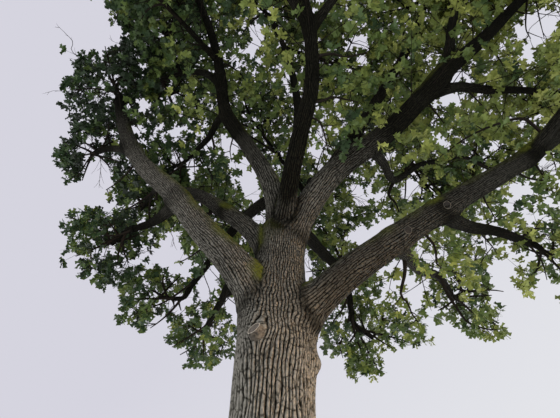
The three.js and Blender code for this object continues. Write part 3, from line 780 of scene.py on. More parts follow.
def oak_bark(name, old_colours, young_and_shaded_colours):
    """Bark from old and pale to young and dark in painted shade, with moss where a field says so."""
    material, tree, shader = new_material(name)
    ridges = blended_ridges(tree)
    moss, dark = fields_of(tree, moss="FLOAT", dark="FLOAT")
    here = add_node(tree, "ShaderNodeTexCoord").outputs["Object"]
    grain, crust, tone = (
        add_node(tree, "ShaderNodeTexNoise", None,
                 {"Vector": here, "Scale": 1000 / size, "Detail": detail}).outputs["Fac"]
        for size, detail in ((GRAIN_MM, 2.0), (CRUST_MM, 3.0), (TONE_MM, 2.0)))
    chipped = add_node(tree, "ShaderNodeMath", {"operation": "MULTIPLY_ADD"}, {0: crust, 1: 1.1, 2: -0.55})
    height = add_node(tree, "ShaderNodeMath", {"operation": "MULTIPLY_ADD"},
                      {0: ridges, 1: 0.8, 2: chipped.outputs[0]}).outputs[0]
    # The dark field mixes in young bark and the painted shade of the crown and the crotches.
    aged_and_shaded = add_node(tree, "ShaderNodeMix", {"data_type": "RGBA"},
                    {0: dark, 6: height_ramp(tree, height, old_colours),
                     7: height_ramp(tree, height, young_and_shaded_colours)})
    shade = add_node(tree, "ShaderNodeMapRange", None,
                     {"Value": tone, "From Min": 0.3, "From Max": 0.7, "To Min": 0.80, "To Max": 1.15})
    toned = add_node(tree, "ShaderNodeVectorMath", {"operation": "SCALE"},
                     {0: aged_and_shaded.outputs[2], "Scale": shade.outputs[0]})
    moss_tint = add_node(tree, "ShaderNodeMix", {"data_type": "RGBA"},
                         {0: grain, 6: linear("#3b4216"), 7: linear("#70752c")})
    patchy = add_node(tree, "ShaderNodeMapRange", None,
                      {"Value": crust, "From Min": 0.35, "From Max": 0.6, "To Min": 0.45})
    cover = add_node(tree, "ShaderNodeMath", {"operation": "MULTIPLY", "use_clamp": True},
                     {0: moss, 1: patchy.outputs[0]})
    final = add_node(tree, "ShaderNodeMix", {"data_type": "RGBA"},
                     {0: cover.outputs[0], 6: toned.outputs[0], 7: moss_tint.outputs[2]})
    rough = add_node(tree, "ShaderNodeMath", {"operation": "MULTIPLY_ADD"}, {0: crust, 1: 0.45, 2: ridges})
    fine = add_node(tree, "ShaderNodeMath", {"operation": "MULTIPLY_ADD"},
                    {0: grain, 1: 0.15, 2: rough.outputs[0]})
    bump = add_node(tree, "ShaderNodeBump", None,
                    {"Height": fine.outputs[0], "Strength": 0.9, "Distance": 0.012})
    tree.links.new(final.outputs[2], shader.inputs["Base Color"])
    tree.links.new(bump.outputs[0], shader.inputs["Normal"])
    shader.inputs["Roughness"].default_value = BARK_ROUGHNESS
    shader.inputs["IOR"].default_value = CORK_IOR
    shader.inputs["Specular IOR Level"].default_value = CORK_SHINE
    return material


OLD_BARK = ("#1a1812", "#68665b", "#a5a295")
# Near black: partly the limbs' darker young bark, mostly painted shade of the crown.
YOUNG_AND_SHADED_BARK = ("#050403", "#13130d", "#242319")
oak_bark_material = oak_bark("furrowed oak bark", OLD_BARK, YOUNG_AND_SHADED_BARK)

# %% [markdown]
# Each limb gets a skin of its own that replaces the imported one. The trunk is nearest to the eye
# and has the most faces round it, so that every ridge has several. Faces that lie deep inside the
# limb's bearer are never seen and are left out.

# %% Bark on every limb
TRUNK_AROUND, BOUGH_AROUND, BRANCH_AROUND = 380, 72, 28
BURIED = 0.10

# Between the first two heights in metres the moss of the crotches fades in, and between the next
# two all moss fades out.
MOSS_HEIGHTS, MOSS_ENDS = (4.65, 4.95), (12, 6)

# Patches of moss to the metre, their seed, and how thickly it grows in crotches and on top.
MOSS_PATCHES, MOSS_SEED = 2.6, 77
MOSS_IN_CROTCHES = 2.2
MOSS_ON_TOP, OTHER_MOSS_ON_TOP = {"trunk": 0.0, "left_bough": 1.0}, 0.3


def moss_on(limb, places, meeting):
    """Moss in the crotches and along the upper side of the leaning boughs, broken into patches."""
    _, position = nearest_on(limb, places)
    up = unit(places - between(limb["middles"], position))[:, 2]
    patches = wander(places * MOSS_PATCHES, MOSS_SEED)
    crotch = MOSS_IN_CROTCHES * meeting**1.5 * smooth_step(0.0, 0.45, up + 0.25 * patches)
    crotch = crotch * smooth_step(*MOSS_HEIGHTS, places[:, 2])
    amount = MOSS_ON_TOP.get(limb["name"], OTHER_MOSS_ON_TOP)
    upper = smooth_step(0.25, 0.8, up + 0.45 * patches) * amount
    return np.clip(crotch + upper, 0, 1) * smooth_step(*MOSS_ENDS, places[:, 2])


def trimmed(skin, keep):
    """A skin with only the faces to keep and the places that they use."""
    faces = skin["faces"][keep]
    used = np.unique(faces)
    renumber = np.zeros(len(skin["places"]), int)
    renumber[used] = np.arange(len(used))
    return {"places": skin["places"][used], "faces": renumber[faces], "meeting": skin["meeting"][used],
            "fields": {key: values[used] for key, values in skin["fields"].items()}}


bark_triangles = 0
for name, limb in wood.items():
    thick = limb["radii"][0] > THICK_RADIUS
    around = TRUNK_AROUND if name == "trunk" else BOUGH_AROUND if thick else BRANCH_AROUND
    skin = skin_of(limb, kin_of(limb), around)
    if limb["bearer"]:
        under, _ = depth_under(wood[limb["bearer"]], skin["places"])
        skin = trimmed(skin, (under[skin["faces"]] > -BURIED).any(axis=1))
    skin["fields"]["moss"] = moss_on(limb, skin["places"], skin["meeting"])
    piece = mesh_piece(name + "_bark", skin["places"], [skin["faces"]], [oak_bark_material],
                       fields=skin["fields"])
    raise_ridges(piece)
    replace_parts(piece, name)
    bark_triangles += triangles_of(piece)
print("bark triangles:", bark_triangles)

# %% [markdown]
# The cut of a pruned bough heals from its rim: a smooth roll of callus grows in over the grey,
# cracked end of the wood. It is a short stub of its own, set into the mound on the bole, because
# the long faces of the trunk are too coarse for it. Rings of places round its middle follow a
# profile from the flat end grain over the roll and down into the bark.

# %% The healed cut
# The profile, as share of the face's radius and millimetres out from the face.
CUT_PROFILE = [(0.02, 0), (0.40, -2), (0.70, -4), (0.84, -3), (0.90, 5), (0.98, 8), (1.04, 3),
               (1.10, -16), (1.18, -55), (1.28, -130)]
BARE_SHARE, CALLUS_SHARE = 0.87, 1.00
CUT_AROUND = 56
CUT_STRETCH = 1.12


def weathered_wood(name, pale, dark, ring_mm, roughness):
    """Wood or callus that has stood in the rain: silver-grey, stained, with fine rings."""
    material, tree, shader = new_material(name)
    dish, = fields_of(tree, dish="FLOAT_VECTOR")
    away = add_node(tree, "ShaderNodeVectorMath", {"operation": "LENGTH"}, {0: dish})
    rings = add_node(tree, "ShaderNodeMath", {"operation": "MULTIPLY"},
                     {0: away.outputs["Value"], 1: 2 * math.pi * 1000 / ring_mm})
    wave = add_node(tree, "ShaderNodeMath", {"operation": "SINE"}, {0: rings.outputs[0]})
    stain = add_node(tree, "ShaderNodeTexNoise", None, {"Vector": dish, "Scale": 24.0, "Detail": 5.0})
    mix = add_node(tree, "ShaderNodeMath", {"operation": "MULTIPLY_ADD"},
                   {0: wave.outputs[0], 1: 0.05, 2: stain.outputs["Fac"]})
    ramp = add_node(tree, "ShaderNodeValToRGB", None, {"Fac": mix.outputs[0]})
    ramp.color_ramp.elements[0].position, ramp.color_ramp.elements[0].color = 0.35, linear(dark)
    ramp.color_ramp.elements[1].position, ramp.color_ramp.elements[1].color = 0.65, linear(pale)
    bump = add_node(tree, "ShaderNodeBump", None,
                    {"Height": mix.outputs[0], "Strength": 0.6, "Distance": 0.008})
    tree.links.new(ramp.outputs["Color"], shader.inputs["Base Color"])
    tree.links.new(bump.outputs[0], shader.inputs["Normal"])
    shader.inputs["Roughness"].default_value = roughness
    return material


def healed_cut(name, middle, facing, face, coats):
    """A round cut with its roll of callus, whose face has this middle, direction and radius."""
    sideways = unit(np.cross((0.0, 0.0, 1.0), facing))
    upward = np.cross(facing, sideways)
    turn = np.linspace(0, 2 * math.pi, CUT_AROUND, endpoint=False)
    rim = (np.cos(turn)[:, None] * sideways + CUT_STRETCH * np.sin(turn)[:, None] * upward) * face
    uneven = 1 + 0.05 * np.sin(2 * turn + 1) + 0.03 * np.sin(5 * turn)
    scale = face / SCAR["face"] * MM
    rings = [middle + rim * (share * uneven)[:, None] + facing * out * scale
             for share, out in CUT_PROFILE]
    places = np.vstack(rings)
    zones = [int(share < CALLUS_SHARE) + int(share < BARE_SHARE) for share, _ in CUT_PROFILE[:-1]]
    piece = mesh_piece(name, places, [ring_faces(len(CUT_PROFILE), CUT_AROUND)], coats,
                       face_materials=np.repeat(zones, CUT_AROUND), fields={"dish": places - middle})
    print(name, "middle:", middle.round(2))
    return piece


cut_coats = [weathered_wood("smooth young bark", "#706a5c", "#36322a", 45, 0.85),
             weathered_wood("pale callus", "#cbc2ae", "#9f9582", 30, 0.8),
             weathered_wood("weathered oak end grain", "#7d7568", "#554e43", 9, 0.8)]
healed_cut("healed_cut", CUT_MIDDLE, CUT_FACING, SCAR["face"], cut_coats)

# %% [markdown]
# The leaves hang in separate masses with sky between them. Each mass has an egg-shaped space of
# its own, and flat walls part it from its neighbours. A particle system could scatter leaves in
# it, but real leaves sit on twigs, so the twigs are grown first: a stem goes on from the limb,
# seven twigs fan out evenly from it by the golden angle, finer twigs fill the room between them,
# and short shoots carry the leaves.

# %% The foliage masses, in millimetres
# Each mass: name, limb, how far along it, heading and rise of the stem, reach, spread and height
# of its space, and its tone, from 0 for the dark blue-green of the shade to 1 for sunlit green.
MASSES = [
    ("leaves_upper_left", "left_bough", 1, 175, 65, 950, 1350, 1200, 0.13),
    ("leaves_left", "left_outer_branch", 1, 115, 55, 450, 1050, 1100, 0.13),
    ("leaves_left_low", "left_low_branch", 1, 145, -10, 700, 1050, 780, 0.23),
    ("leaves_high_left", "high_left_branch", 1, 105, 30, 1050, 1200, 1100, 0.35),
    ("leaves_top_left", "high_left_branch", 0.8, 185, 70, 2300, 1500, 1250, 0.30),
    ("leaves_crown_left", "rising_left_bough", 1, 180, 75, 2050, 1600, 1400, 0.37),
    ("leaves_left_front", "rising_left_bough", 0.7, 228, 12, 2750, 1500, 1250, 0.35),
    ("leaves_inner_left", "inner_left_branch", 1, 130, 20, 1050, 1250, 1000, 0.37),
    ("leaves_back_left", "back_left_bough", 1, 130, 15, 1650, 1150, 1000, 0.43),
    ("leaves_low_back_left", "low_back_left_bough", 1, 145, 5, 950, 1050, 850, 0.47),
    ("leaves_lowest_left", "lowest_left_bough", 1, 105, 12, 650, 950, 950, 0.43),
    ("leaves_low_back_right", "low_back_right_bough", 1, 55, -15, 1050, 1250, 1000, 0.55),
    ("leaves_right_hanging", "right_hanging_branch", 1, 35, 20, 800, 1000, 1250, 0.58),
    ("leaves_right_low", "right_low_branch", 1, 35, -5, 750, 950, 900, 0.68),
    ("leaves_right", "right_bough", 1, 15, 65, 650, 1600, 1400, 0.78),
    ("leaves_level_right", "level_right_branch", 1, 56, 40, 2200, 1550, 1300, 0.76),
    ("leaves_rising_right", "rising_right_bough", 1, 345, 60, 1300, 1600, 1400, 0.78),
    ("leaves_upright_right", "upright_right_branch", 1, 56, 34, 1950, 1600, 1400, 0.78),
    ("leaves_back_hanging", "back_hanging_branch", 1, 30, 25, 2000, 1500, 1200, 0.63),
    ("leaves_top", "top_leader", 1, 135, 35, 750, 1800, 1400, 0.67),
    ("leaves_top_middle", "upright_leader", 1, 160, 70, 1300, 1800, 1400, 0.55),
    ("leaves_inner_top", "upright_leader", 0.8, 30, 20, 2250, 1600, 1400, 0.55),
    ("leaves_front", "front_bough", 1, 275, 45, 1800, 1600, 1300, 0.55),
    ("leaves_front_right", "front_right_branch", 1, 310, 20, 1600, 1500, 1300, 0.68),
    ("leaves_front_left", "front_left_branch", 1, 225, -15, 1350, 1500, 1300, 0.50),
    ("leaves_right_front", "right_front_branch", 1, 275, 45, 1350, 1600, 1400, 0.73),
    ("leaves_back_right", "back_right_branch", 1, 45, -15, 2050, 1800, 1500, 0.55),
    ("leaves_back_right_top", "back_right_branch", 0.7, 40, 68, 2700, 1600, 1300, 0.60),
    ("leaves_back_left_high", "back_left_branch", 1, 120, 40, 1900, 1800, 1500, 0.50),
    ("leaves_back", "back_bough", 1, 80, 25, 2100, 1900, 1600, 0.50),
    ("leaves_back_top", "back_bough", 0.8, 176, 64, 3650, 1700, 1400, 0.50),
    ("leaves_back_low_right", "low_back_right_bough", 0.75, 82, 44, 1950, 1350, 1100, 0.55),
    ("leaves_back_low_left", "lowest_left_bough", 0.7, 68, 38, 2000, 1250, 1000, 0.55),
]
STEM_TIP_GIRTH = 70
FURTHEST = 1.12

# A stem's girth as a share of its limb's, where it goes on from the tip and where it branches off,
# and where its bend lies between limb and middle in the same two cases.
GIRTH_ON, GIRTH_OFF = 0.93, 0.6
BEND_ON, BEND_OFF = 0.3, 0.4


def lay_out(name, on, at, heading, rise, reach, spread, tall, tone):
    """The space of a mass and the stem that carries it."""
    limb = wood[on]
    start, ahead = (found[0] for found in on_curve(limb["corners"], at))
    middle = start + pointing(heading, rise) * reach * MM
    goes_on = at == 1
    bend = start + ahead * reach * MM * BEND_ON if goes_on else start + BEND_OFF * (middle - start)
    girth = np.interp(at, limb["parts"], limb["radii"]) * 2 * (GIRTH_ON if goes_on else GIRTH_OFF)
    radius_at = tapering(girth / MM, STEM_TIP_GIRTH)
    stem = line_up(np.array([start, bend, middle]), radius_at, THIN_RINGS)
    stem["name"], stem["bearer"] = name, on
    size = (2 * spread + tall) / 3
    return {"name": name, "middle": middle, "stem": stem, "tone": tone,
            "radii": np.array([spread, spread, tall]) * MM * FURTHEST, "size": size}


spaces = [lay_out(*mass) for mass in MASSES]
for space in spaces:
    others = [other for other in spaces if other is not space]
    apart = np.array([other["middle"] - space["middle"] for other in others])
    share = np.array([space["size"] / (space["size"] + other["size"]) for other in others])
    distance = np.linalg.norm(apart, axis=1)
    space["walls"] = apart / distance[:, None]
    space["wall_reach"] = space["walls"] @ space["middle"] + distance * share
print("masses:", len(spaces))

# %% Room in a space
GOLDEN_TURN = math.pi * (3 - math.sqrt(5))

# A line that runs away from a wall never meets it, and then has this much room, in metres.
NO_WALL = 99


def room_along(space, froms, towards):
    """How far each line runs from its start before it leaves the space."""
    p = (froms - space["middle"]) / space["radii"]
    d = towards / space["radii"]
    half = (p * d).sum(axis=1)
    square = (d * d).sum(axis=1)
    inside = half**2 - square * ((p * p).sum(axis=1) - 1)
    room = np.where(inside > 0, (np.sqrt(np.maximum(inside, 0)) - half) / square, 0)
    closing = towards @ space["walls"].T
    gap = space["wall_reach"] - froms @ space["walls"].T
    walls = np.where(closing > 0.01, gap / np.maximum(closing, 0.01), NO_WALL)
    return np.minimum(room, walls.min(axis=1))


def all_round(count, phase):
    """Directions spread evenly over a sphere by the golden angle."""
    place = np.arange(count)
    high = 1 - (2 * place + 1) / count
    turn = phase + place * GOLDEN_TURN
    level = np.sqrt(1 - high**2)
    return np.stack([level * np.cos(turn), level * np.sin(turn), high], axis=1)


# Every limb and stem as short legs with a radius, which twigs and leaves keep clear of.
LEG_CORNERS = 14
leg_starts, leg_ends, leg_radii, leg_owner = [], [], [], []
for owner, limb in [*wood.items(), *((space["name"], space["stem"]) for space in spaces)]:
    picks = np.unique(np.linspace(0, len(limb["middles"]) - 1, LEG_CORNERS).astype(int))
    leg_starts.append(limb["middles"][picks[:-1]])
    leg_ends.append(limb["middles"][picks[1:]])
    leg_radii.append(limb["radii"][picks[:-1]])
    leg_owner += [owner] * (len(picks) - 1)
leg_starts, leg_ends = np.vstack(leg_starts), np.vstack(leg_ends)
leg_radii, leg_owner = np.concatenate(leg_radii), np.array(leg_owner)


def clear_of_wood(places, clearance, apart_from=""):
    """True for each place that is at least this far from every limb and stem."""
    free = np.ones(len(places), bool)
    for start, end, radius, owner in zip(leg_starts, leg_ends, leg_radii, leg_owner):
        if owner == apart_from:
            continue
        leg = end - start
        t = np.clip((places - start) @ leg / leg.dot(leg), 0, 1)
        away = np.linalg.norm(places - start - t[:, None] * leg, axis=1)
        free &= away > radius + clearance
    return free


print("legs to keep clear of:", len(leg_radii))

# %% [markdown]
# From where the photograph was taken, sky shows between the masses and bites into their edges.
# Real leaves leave such gaps where light once failed or a limb was lost. Each gap is a cone from
# the eye through an ellipse in the frame, and no cluster of leaves ends in it.

# %% Gaps of open sky
# The photograph's view: from breast height six metres in front of the trunk, looking up steeply.
EYE = (0.10, -5.90, 1.60)
LOOKING_UP = 40
FOCAL_PIXELS, FRAME_WIDTH, FRAME_HEIGHT = 415, 560, 418

# Each gap: its middle across and down the frame, and its half width and half height, in pixels.
SKY_GAPS = [
    (90, 12, 9, 13), (108, 36, 17, 13), (80, 41, 12, 7), (62, 66, 13, 11), (60, 130, 12, 8),
    (49, 145, 9, 10), (47, 168, 10, 12), (93, 170, 11, 12), (98, 184, 18, 7), (108, 206, 12, 7),
    (70, 190, 16, 7), (78, 202, 16, 5), (61, 238, 7, 14), (72, 268, 9, 15), (114, 302, 8, 18),
    (128, 333, 14, 9),
    (160, 328, 13, 12), (180, 302, 13, 11), (207, 288, 11, 9), (233, 306, 10, 11), (237, 310, 7, 16),
    (172, 245, 8, 18), (178, 356, 13, 11), (206, 375, 24, 9), (230, 368, 10, 11), (234, 145, 7, 10),
    (245, 163, 6, 10), (245, 183, 7, 8), (257, 36, 7, 16), (250, 52, 8, 6), (175, 132, 10, 6),
    (143, 105, 8, 9), (165, 262, 11, 7), (213, 272, 7, 9), (68, 8, 8, 9), (92, 2, 14, 7),
    (57, 250, 8, 8), (158, 345, 9, 7), (225, 140, 6, 7), (192, 172, 5, 14), (360, 42, 10, 9),
    (362, 60, 8, 7), (315, 153, 7, 8), (355, 190, 7, 8), (362, 200, 7, 7), (336, 362, 12, 8),
    (404, 366, 21, 21), (372, 388, 22, 8), (305, 270, 9, 15), (360, 238, 14, 8), (376, 232, 10, 6),
    (387, 224, 10, 8), (382, 268, 6, 9), (388, 284, 5, 9), (415, 296, 8, 18), (441, 326, 14, 8),
    (441, 141, 8, 9), (447, 101, 8, 6), (410, 188, 8, 8), (502, 277, 15, 15), (497, 297, 9, 9),
    (513, 310, 11, 27), (500, 351, 22, 8), (468, 344, 9, 8), (545, 289, 16, 9), (551, 308, 12, 8),
    (542, 22, 18, 14), (530, 32, 14, 9), (527, 50, 7, 9), (517, 190, 9, 12), (511, 206, 8, 9),
    (543, 204, 13, 5), (495, 145, 8, 6), (60, 201, 6, 5), (146, 345, 8, 5), (430, 353, 8, 8),
]

# The picture's own directions: to its right, into it, and up it.
RIGHTWARD = np.array([1.0, 0.0, 0.0])
AHEAD = pointing(90, LOOKING_UP)
UPWARD = pointing(270, 90 - LOOKING_UP)


def seen_at(places):
    """Where places show in the frame: pixels across and down, and how deep in the view."""
    seen = places - EYE
    depth = np.maximum(seen @ AHEAD, 0.1)
    return (FRAME_WIDTH / 2 + FOCAL_PIXELS * (seen @ RIGHTWARD) / depth,
            FRAME_HEIGHT / 2 - FOCAL_PIXELS * (seen @ UPWARD) / depth, depth)


def open_sky(places):
    """True for each place that lies in a gap, as seen from the photograph's eye."""
    across, down, _ = seen_at(places)
    found = np.zeros(len(places), bool)
    for x, y, half_width, half_height in SKY_GAPS:
        found |= ((across - x) / half_width) ** 2 + ((down - y) / half_height) ** 2 < 1
    return found


print("gaps of sky:", len(SKY_GAPS))

# %% [markdown]
# The twigs grow in three orders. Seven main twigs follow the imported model: they leave the stem
# one after another and reach 0.7 of the way to the edge of the space. The second order fills the
# space: its ends are dealt out evenly all round, and each is joined to the nearest wood inside
# it. Shoots then leave each of those in turn, and end in a cluster of leaves.

# %% Growing twigs
TWIGS = 7
TWIG_REACH = 0.7
MASS_SEED = 7919
SPRAYS_PER_SQUARE_METRE = 40
SHOOTS = 4
SHOOT_LENGTH = (0.20, 0.42)
LEAF_LENGTH = (0.115, 0.168)
LIMB_CLEARANCE, TWIG_CLEARANCE = 0.10, 0.03

# Leaves die in the shade inside the crown, so masses stay bare on the side that faces its heart.
CROWN_HEART = np.array([0.3, -0.6, 5.5])
SHADED_SIDE = 0.45

# The edge of a mass swells and draws in: the mean share of its room used, and how far that varies.
LUMPS = (0.88, 0.25)

# A twig leaves its bearer ahead before it bends: the shares of its length for that, for where it
# bends, and for how far chance moves the bend.
LEAVES_AHEAD, BENDS_AT, BEND_CHANCE = 0.20, 0.42, 0.07


def bent_line(roots, ends, leaving, dice, knots):
    """Twigs as rows of places that leave in one direction and bend to their ends."""
    span = np.linalg.norm(ends - roots, axis=1, keepdims=True)
    jog = dice.normal(0, BEND_CHANCE, roots.shape) * span
    control = roots + BENDS_AT * (ends - roots) + leaving * span * LEAVES_AHEAD + jog
    t = np.linspace(0, 1, knots)[None, :, None]
    return ((1 - t) ** 2 * roots[:, None] + 2 * t * (1 - t) * control[:, None]
            + t**2 * ends[:, None])


def square_to(directions, turns):
    """For each direction, one square to it, turned round it by the given angle."""
    helper = np.where(np.abs(directions[:, 2:3]) > 0.9, (1.0, 0.0, 0.0), (0.0, 0.0, 1.0))
    across = unit(np.cross(directions, helper))
    over = np.cross(directions, across)
    return np.cos(turns)[:, None] * across + np.sin(turns)[:, None] * over


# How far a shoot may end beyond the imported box: this share of a side, less this share of a leaf.
BEYOND_THE_BOX, LEAF_WITHIN = 0.025, 0.8


def in_the_box(places):
    """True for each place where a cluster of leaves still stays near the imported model's box."""
    low, high = np.array(packed_box)
    beyond = BEYOND_THE_BOX * (high - low) - LEAF_LENGTH[1] * LEAF_WITHIN
    return ((places > low - beyond) & (places < high + beyond)).all(axis=1)


# Shoots start this far along a spray. They lean out, the last one least, and rise a little.
FIRST_SHOOT_AT = 0.35
SHOOT_LEAN, LAST_SHOOT_LEAN, SHOOT_RISE = 0.95, 0.25, 0.12

# The shortest shoot that is kept, and the room left beyond its end, in metres.
LEAST_SHOOT, ROOM_BEYOND = 0.07, 0.02


def shoots_on(sprays, dice, room_for):
    """Short shoots along sprays, one after another by the golden angle, and the spray of each."""
    shoots, owners = [], []
    for order in range(SHOOTS + 1):
        part = FIRST_SHOOT_AT + (1 - FIRST_SHOOT_AT) * order / SHOOTS
        at = part * (sprays.shape[1] - 1)
        low = min(int(at), sprays.shape[1] - 2)
        roots = sprays[:, low] + (at - low) * (sprays[:, low + 1] - sprays[:, low])
        ahead = unit(sprays[:, low + 1] - sprays[:, low])
        turns = order * GOLDEN_TURN + dice.uniform(-0.6, 0.6, len(roots))
        sideways = square_to(ahead, turns)
        lean = LAST_SHOOT_LEAN if order == SHOOTS else SHOOT_LEAN
        towards = unit(ahead + lean * sideways + (0, 0, SHOOT_RISE))
        length = dice.uniform(*SHOOT_LENGTH, len(roots))
        length = np.minimum(length, room_for(roots, towards) - ROOM_BEYOND)
        ends = roots + towards * length[:, None]
        keep = (length > LEAST_SHOOT) & clear_of_wood(ends, LIMB_CLEARANCE) & in_the_box(ends)
        keep &= ~open_sky(ends)
        shoots.append(bent_line(roots, ends, ahead, dice, 2)[keep])
        owners.append(np.flatnonzero(keep))
    return np.vstack(shoots), np.concatenate(owners)


def main_twigs(space, dice):
    """The fan of main twigs on a mass's stem, without those that would run into other wood."""
    outward = all_round(TWIGS, dice.uniform(0, 2 * math.pi))
    nodes, stem_ahead = on_curve(space["stem"]["corners"], 0.98 - 0.55 * np.arange(TWIGS) / TWIGS)
    middle = np.repeat(space["middle"][None], TWIGS, axis=0)
    ends = middle + outward * (TWIG_REACH * room_along(space, middle, outward))[:, None]
    main = bent_line(nodes, ends, stem_ahead, dice, 7)
    free = np.array([clear_of_wood(row[2:], TWIG_CLEARANCE, space["name"]).all() for row in main])
    return main[free]


def spray_ends(space, seed, dice):
    """Where the sprays of a mass end: evenly all round, but not towards the crown's heart."""
    area = (space["radii"][0] ** 2 * 2 + space["radii"][0] * space["radii"][2]) / 3
    count = round(SPRAYS_PER_SQUARE_METRE * area)
    outward = all_round(count, dice.uniform(0, 2 * math.pi)) + dice.normal(0, 0.10, (count, 3))
    outward = unit(outward)
    shaded = outward @ unit(CROWN_HEART - space["middle"]) > SHADED_SIDE
    outward = outward[~shaded]
    count = len(outward)
    middle = np.repeat(space["middle"][None], count, axis=0)
    lumps = np.clip(LUMPS[0] + LUMPS[1] * wander(outward * 2.0 + seed % 97, 31), 0, 1)
    room = np.maximum(room_along(space, middle, outward) * lumps - 0.10, 0.1)
    share = dice.uniform(0.25, 1.0, count) ** 0.4
    return middle + outward * (room * share)[:, None]


def joined_sprays(space, main, ends, dice):
    """Sprays that run from the nearest wood inside a mass to these ends."""
    stem_places = on_curve(space["stem"]["corners"], np.linspace(0.45, 1, 6))
    bearers = np.vstack([main[:, 1:-1].reshape(-1, 3), stem_places[0]])
    main_ahead = unit(np.diff(main, axis=1))[:, 1:].reshape(-1, 3)
    bearers_ahead = np.vstack([main_ahead, stem_places[1]])
    away = np.linalg.norm(ends[:, None] - bearers[None], axis=2)
    inward = np.linalg.norm(bearers - space["middle"], axis=1)
    choice = (away + 0.25 * inward[None]).argmin(axis=1)
    sprays = bent_line(bearers[choice], ends, bearers_ahead[choice], dice, 4)
    free = clear_of_wood(ends, LIMB_CLEARANCE) & clear_of_wood(sprays[:, 2], TWIG_CLEARANCE)
    return sprays[free & ~open_sky(ends)]


def grow_mass(space, seed):
    """Main twigs, sprays and shoots of one mass, as rows of places, and the spray of each shoot."""
    dice = np.random.default_rng(seed)
    main = main_twigs(space, dice)
    sprays = joined_sprays(space, main, spray_ends(space, seed, dice), dice)
    shoots, owners = shoots_on(sprays, dice, lambda *line: room_along(space, *line))
    return main, sprays, shoots, owners, dice


# %% Tubes for twigs
def twig_tubes(rows, root_radius, tip_radius, sides):
    """Slim tapering tubes along rows of places, all with the same number of knots."""
    count, knots, _ = rows.shape
    ahead = unit(np.gradient(rows, axis=1))
    helper = np.where(np.abs(ahead[:, :1, 2:3]) > 0.9, (1.0, 0.0, 0.0), (0.0, 0.0, 1.0))
    across = unit(np.cross(ahead, np.broadcast_to(helper, ahead.shape)))
    over = np.cross(ahead, across)
    turn = np.linspace(0, 2 * math.pi, sides, endpoint=False)
    radius = (root_radius + (tip_radius - root_radius) * np.linspace(0, 1, knots))[None, :, None, None]
    ring = (np.cos(turn)[:, None] * across[:, :, None] + np.sin(turn)[:, None] * over[:, :, None])
    places = rows[:, :, None] + radius * ring
    one = ring_faces(knots, sides)
    faces = one[None] + (np.arange(count) * knots * sides)[:, None, None]
    return places.reshape(-1, 3), faces.reshape(-1, 4)


# %% [markdown]
# An oak leaf is widest beyond its middle and cut into rounded lobes. Eight points round its
# outline give it its own shape with no cut-out picture. The blade bends down a little and leaves
# sit in a cluster round the end of each shoot, turned to the light.

# %% One oak leaf
# Places along the blade, and the half width there, as shares of its length.
LOBES = [(0.00, 0.03), (0.36, 0.30), (0.54, 0.15), (0.90, 0.30)]
LEAF_DROOP = 0.16
LEAVES_PER_SHOOT = 7

# How a leaf points: this much ahead with the shoot and between these shares to the side. Its face
# tilts by chance, and the leaves sit this far apart along the shoot, in metres.
LEAF_AHEAD, LEAF_SPREAD = 0.55, (0.75, 1.5)
LEAF_TILT, LEAF_GAP = 0.38, 0.012


def leaf_cluster(shoots, dice):
    """Leaves round the end of every shoot: their places and faces."""
    tips = np.repeat(shoots[:, -1], LEAVES_PER_SHOOT, axis=0)
    ahead = unit(shoots[:, -1] - shoots[:, -2])
    back = np.repeat(ahead, LEAVES_PER_SHOOT, axis=0)
    count = len(tips)
    number = np.tile(np.arange(LEAVES_PER_SHOOT), len(shoots))
    phase = np.repeat(dice.uniform(0, 2 * math.pi, len(shoots)), LEAVES_PER_SHOOT)
    turns = phase + number * GOLDEN_TURN + dice.normal(0, 0.2, count)
    sideways = square_to(back, turns)
    spread = dice.uniform(*LEAF_SPREAD, count)[:, None]
    towards = unit(back * LEAF_AHEAD + sideways * spread + dice.normal(0, 0.12, (count, 3)))
    lift = unit(np.array([0.0, 0.0, 1.0]) + back * 0.5 + dice.normal(0, LEAF_TILT, (count, 3)))
    side = unit(np.cross(towards, lift))
    face = np.cross(side, towards)
    length = dice.uniform(*LEAF_LENGTH, count)[:, None]
    base = tips - back * (number[:, None] * LEAF_GAP)
    places = []
    for part, half in LOBES:
        line = base + towards * length * part - face * length * LEAF_DROOP * part**2
        places += [line - side * length * half, line + side * length * half]
    places = np.stack(places, axis=1)
    first = (np.arange(count) * places.shape[1])[:, None, None]
    strip = np.array([[2 * i, 2 * i + 1, 2 * i + 3, 2 * i + 2] for i in range(len(LOBES) - 1)])
    return places.reshape(-1, 3), (strip[None] + first).reshape(-1, 4)


# %% [markdown]
# Oak leaves are glossy above and paler and matt below. In the shade of the crown they look dark
# blue-green, and where the sky or the sun stands behind them yellow-green. The leaves are opaque,
# so that shade and light are painted into their colour: the spray of leaves on each shoot gets one
# of seven plain greens, from painted shade to painted light through the leaf, dealt out by the tone
# of its mass and twig, so that the colour stays with the leaf wherever the piece goes.

# %% Oak leaf greens
# From painted shade, dark blue-green, to painted light through the leaf, yellow-green.
LEAF_GREENS = ["#25341e", "#354b2b", "#495f32", "#62763a", "#7c8b43", "#959f4e", "#b2ba63"]
LEAF_ROUGHNESS = 0.52
WAX_IOR = 1.42


def leaf_green(number, colour):
    """One of the greens of an oak's waxy leaf: a soft gloss, and no pattern."""
    material, _, shader = new_material(f"oak leaf green {number + 1}")
    shader.inputs["Base Color"].default_value = linear(colour)
    shader.inputs["Roughness"].default_value = LEAF_ROUGHNESS
    shader.inputs["IOR"].default_value = WAX_IOR
    return material


leaf_materials = [leaf_green(number, colour) for number, colour in enumerate(LEAF_GREENS)]
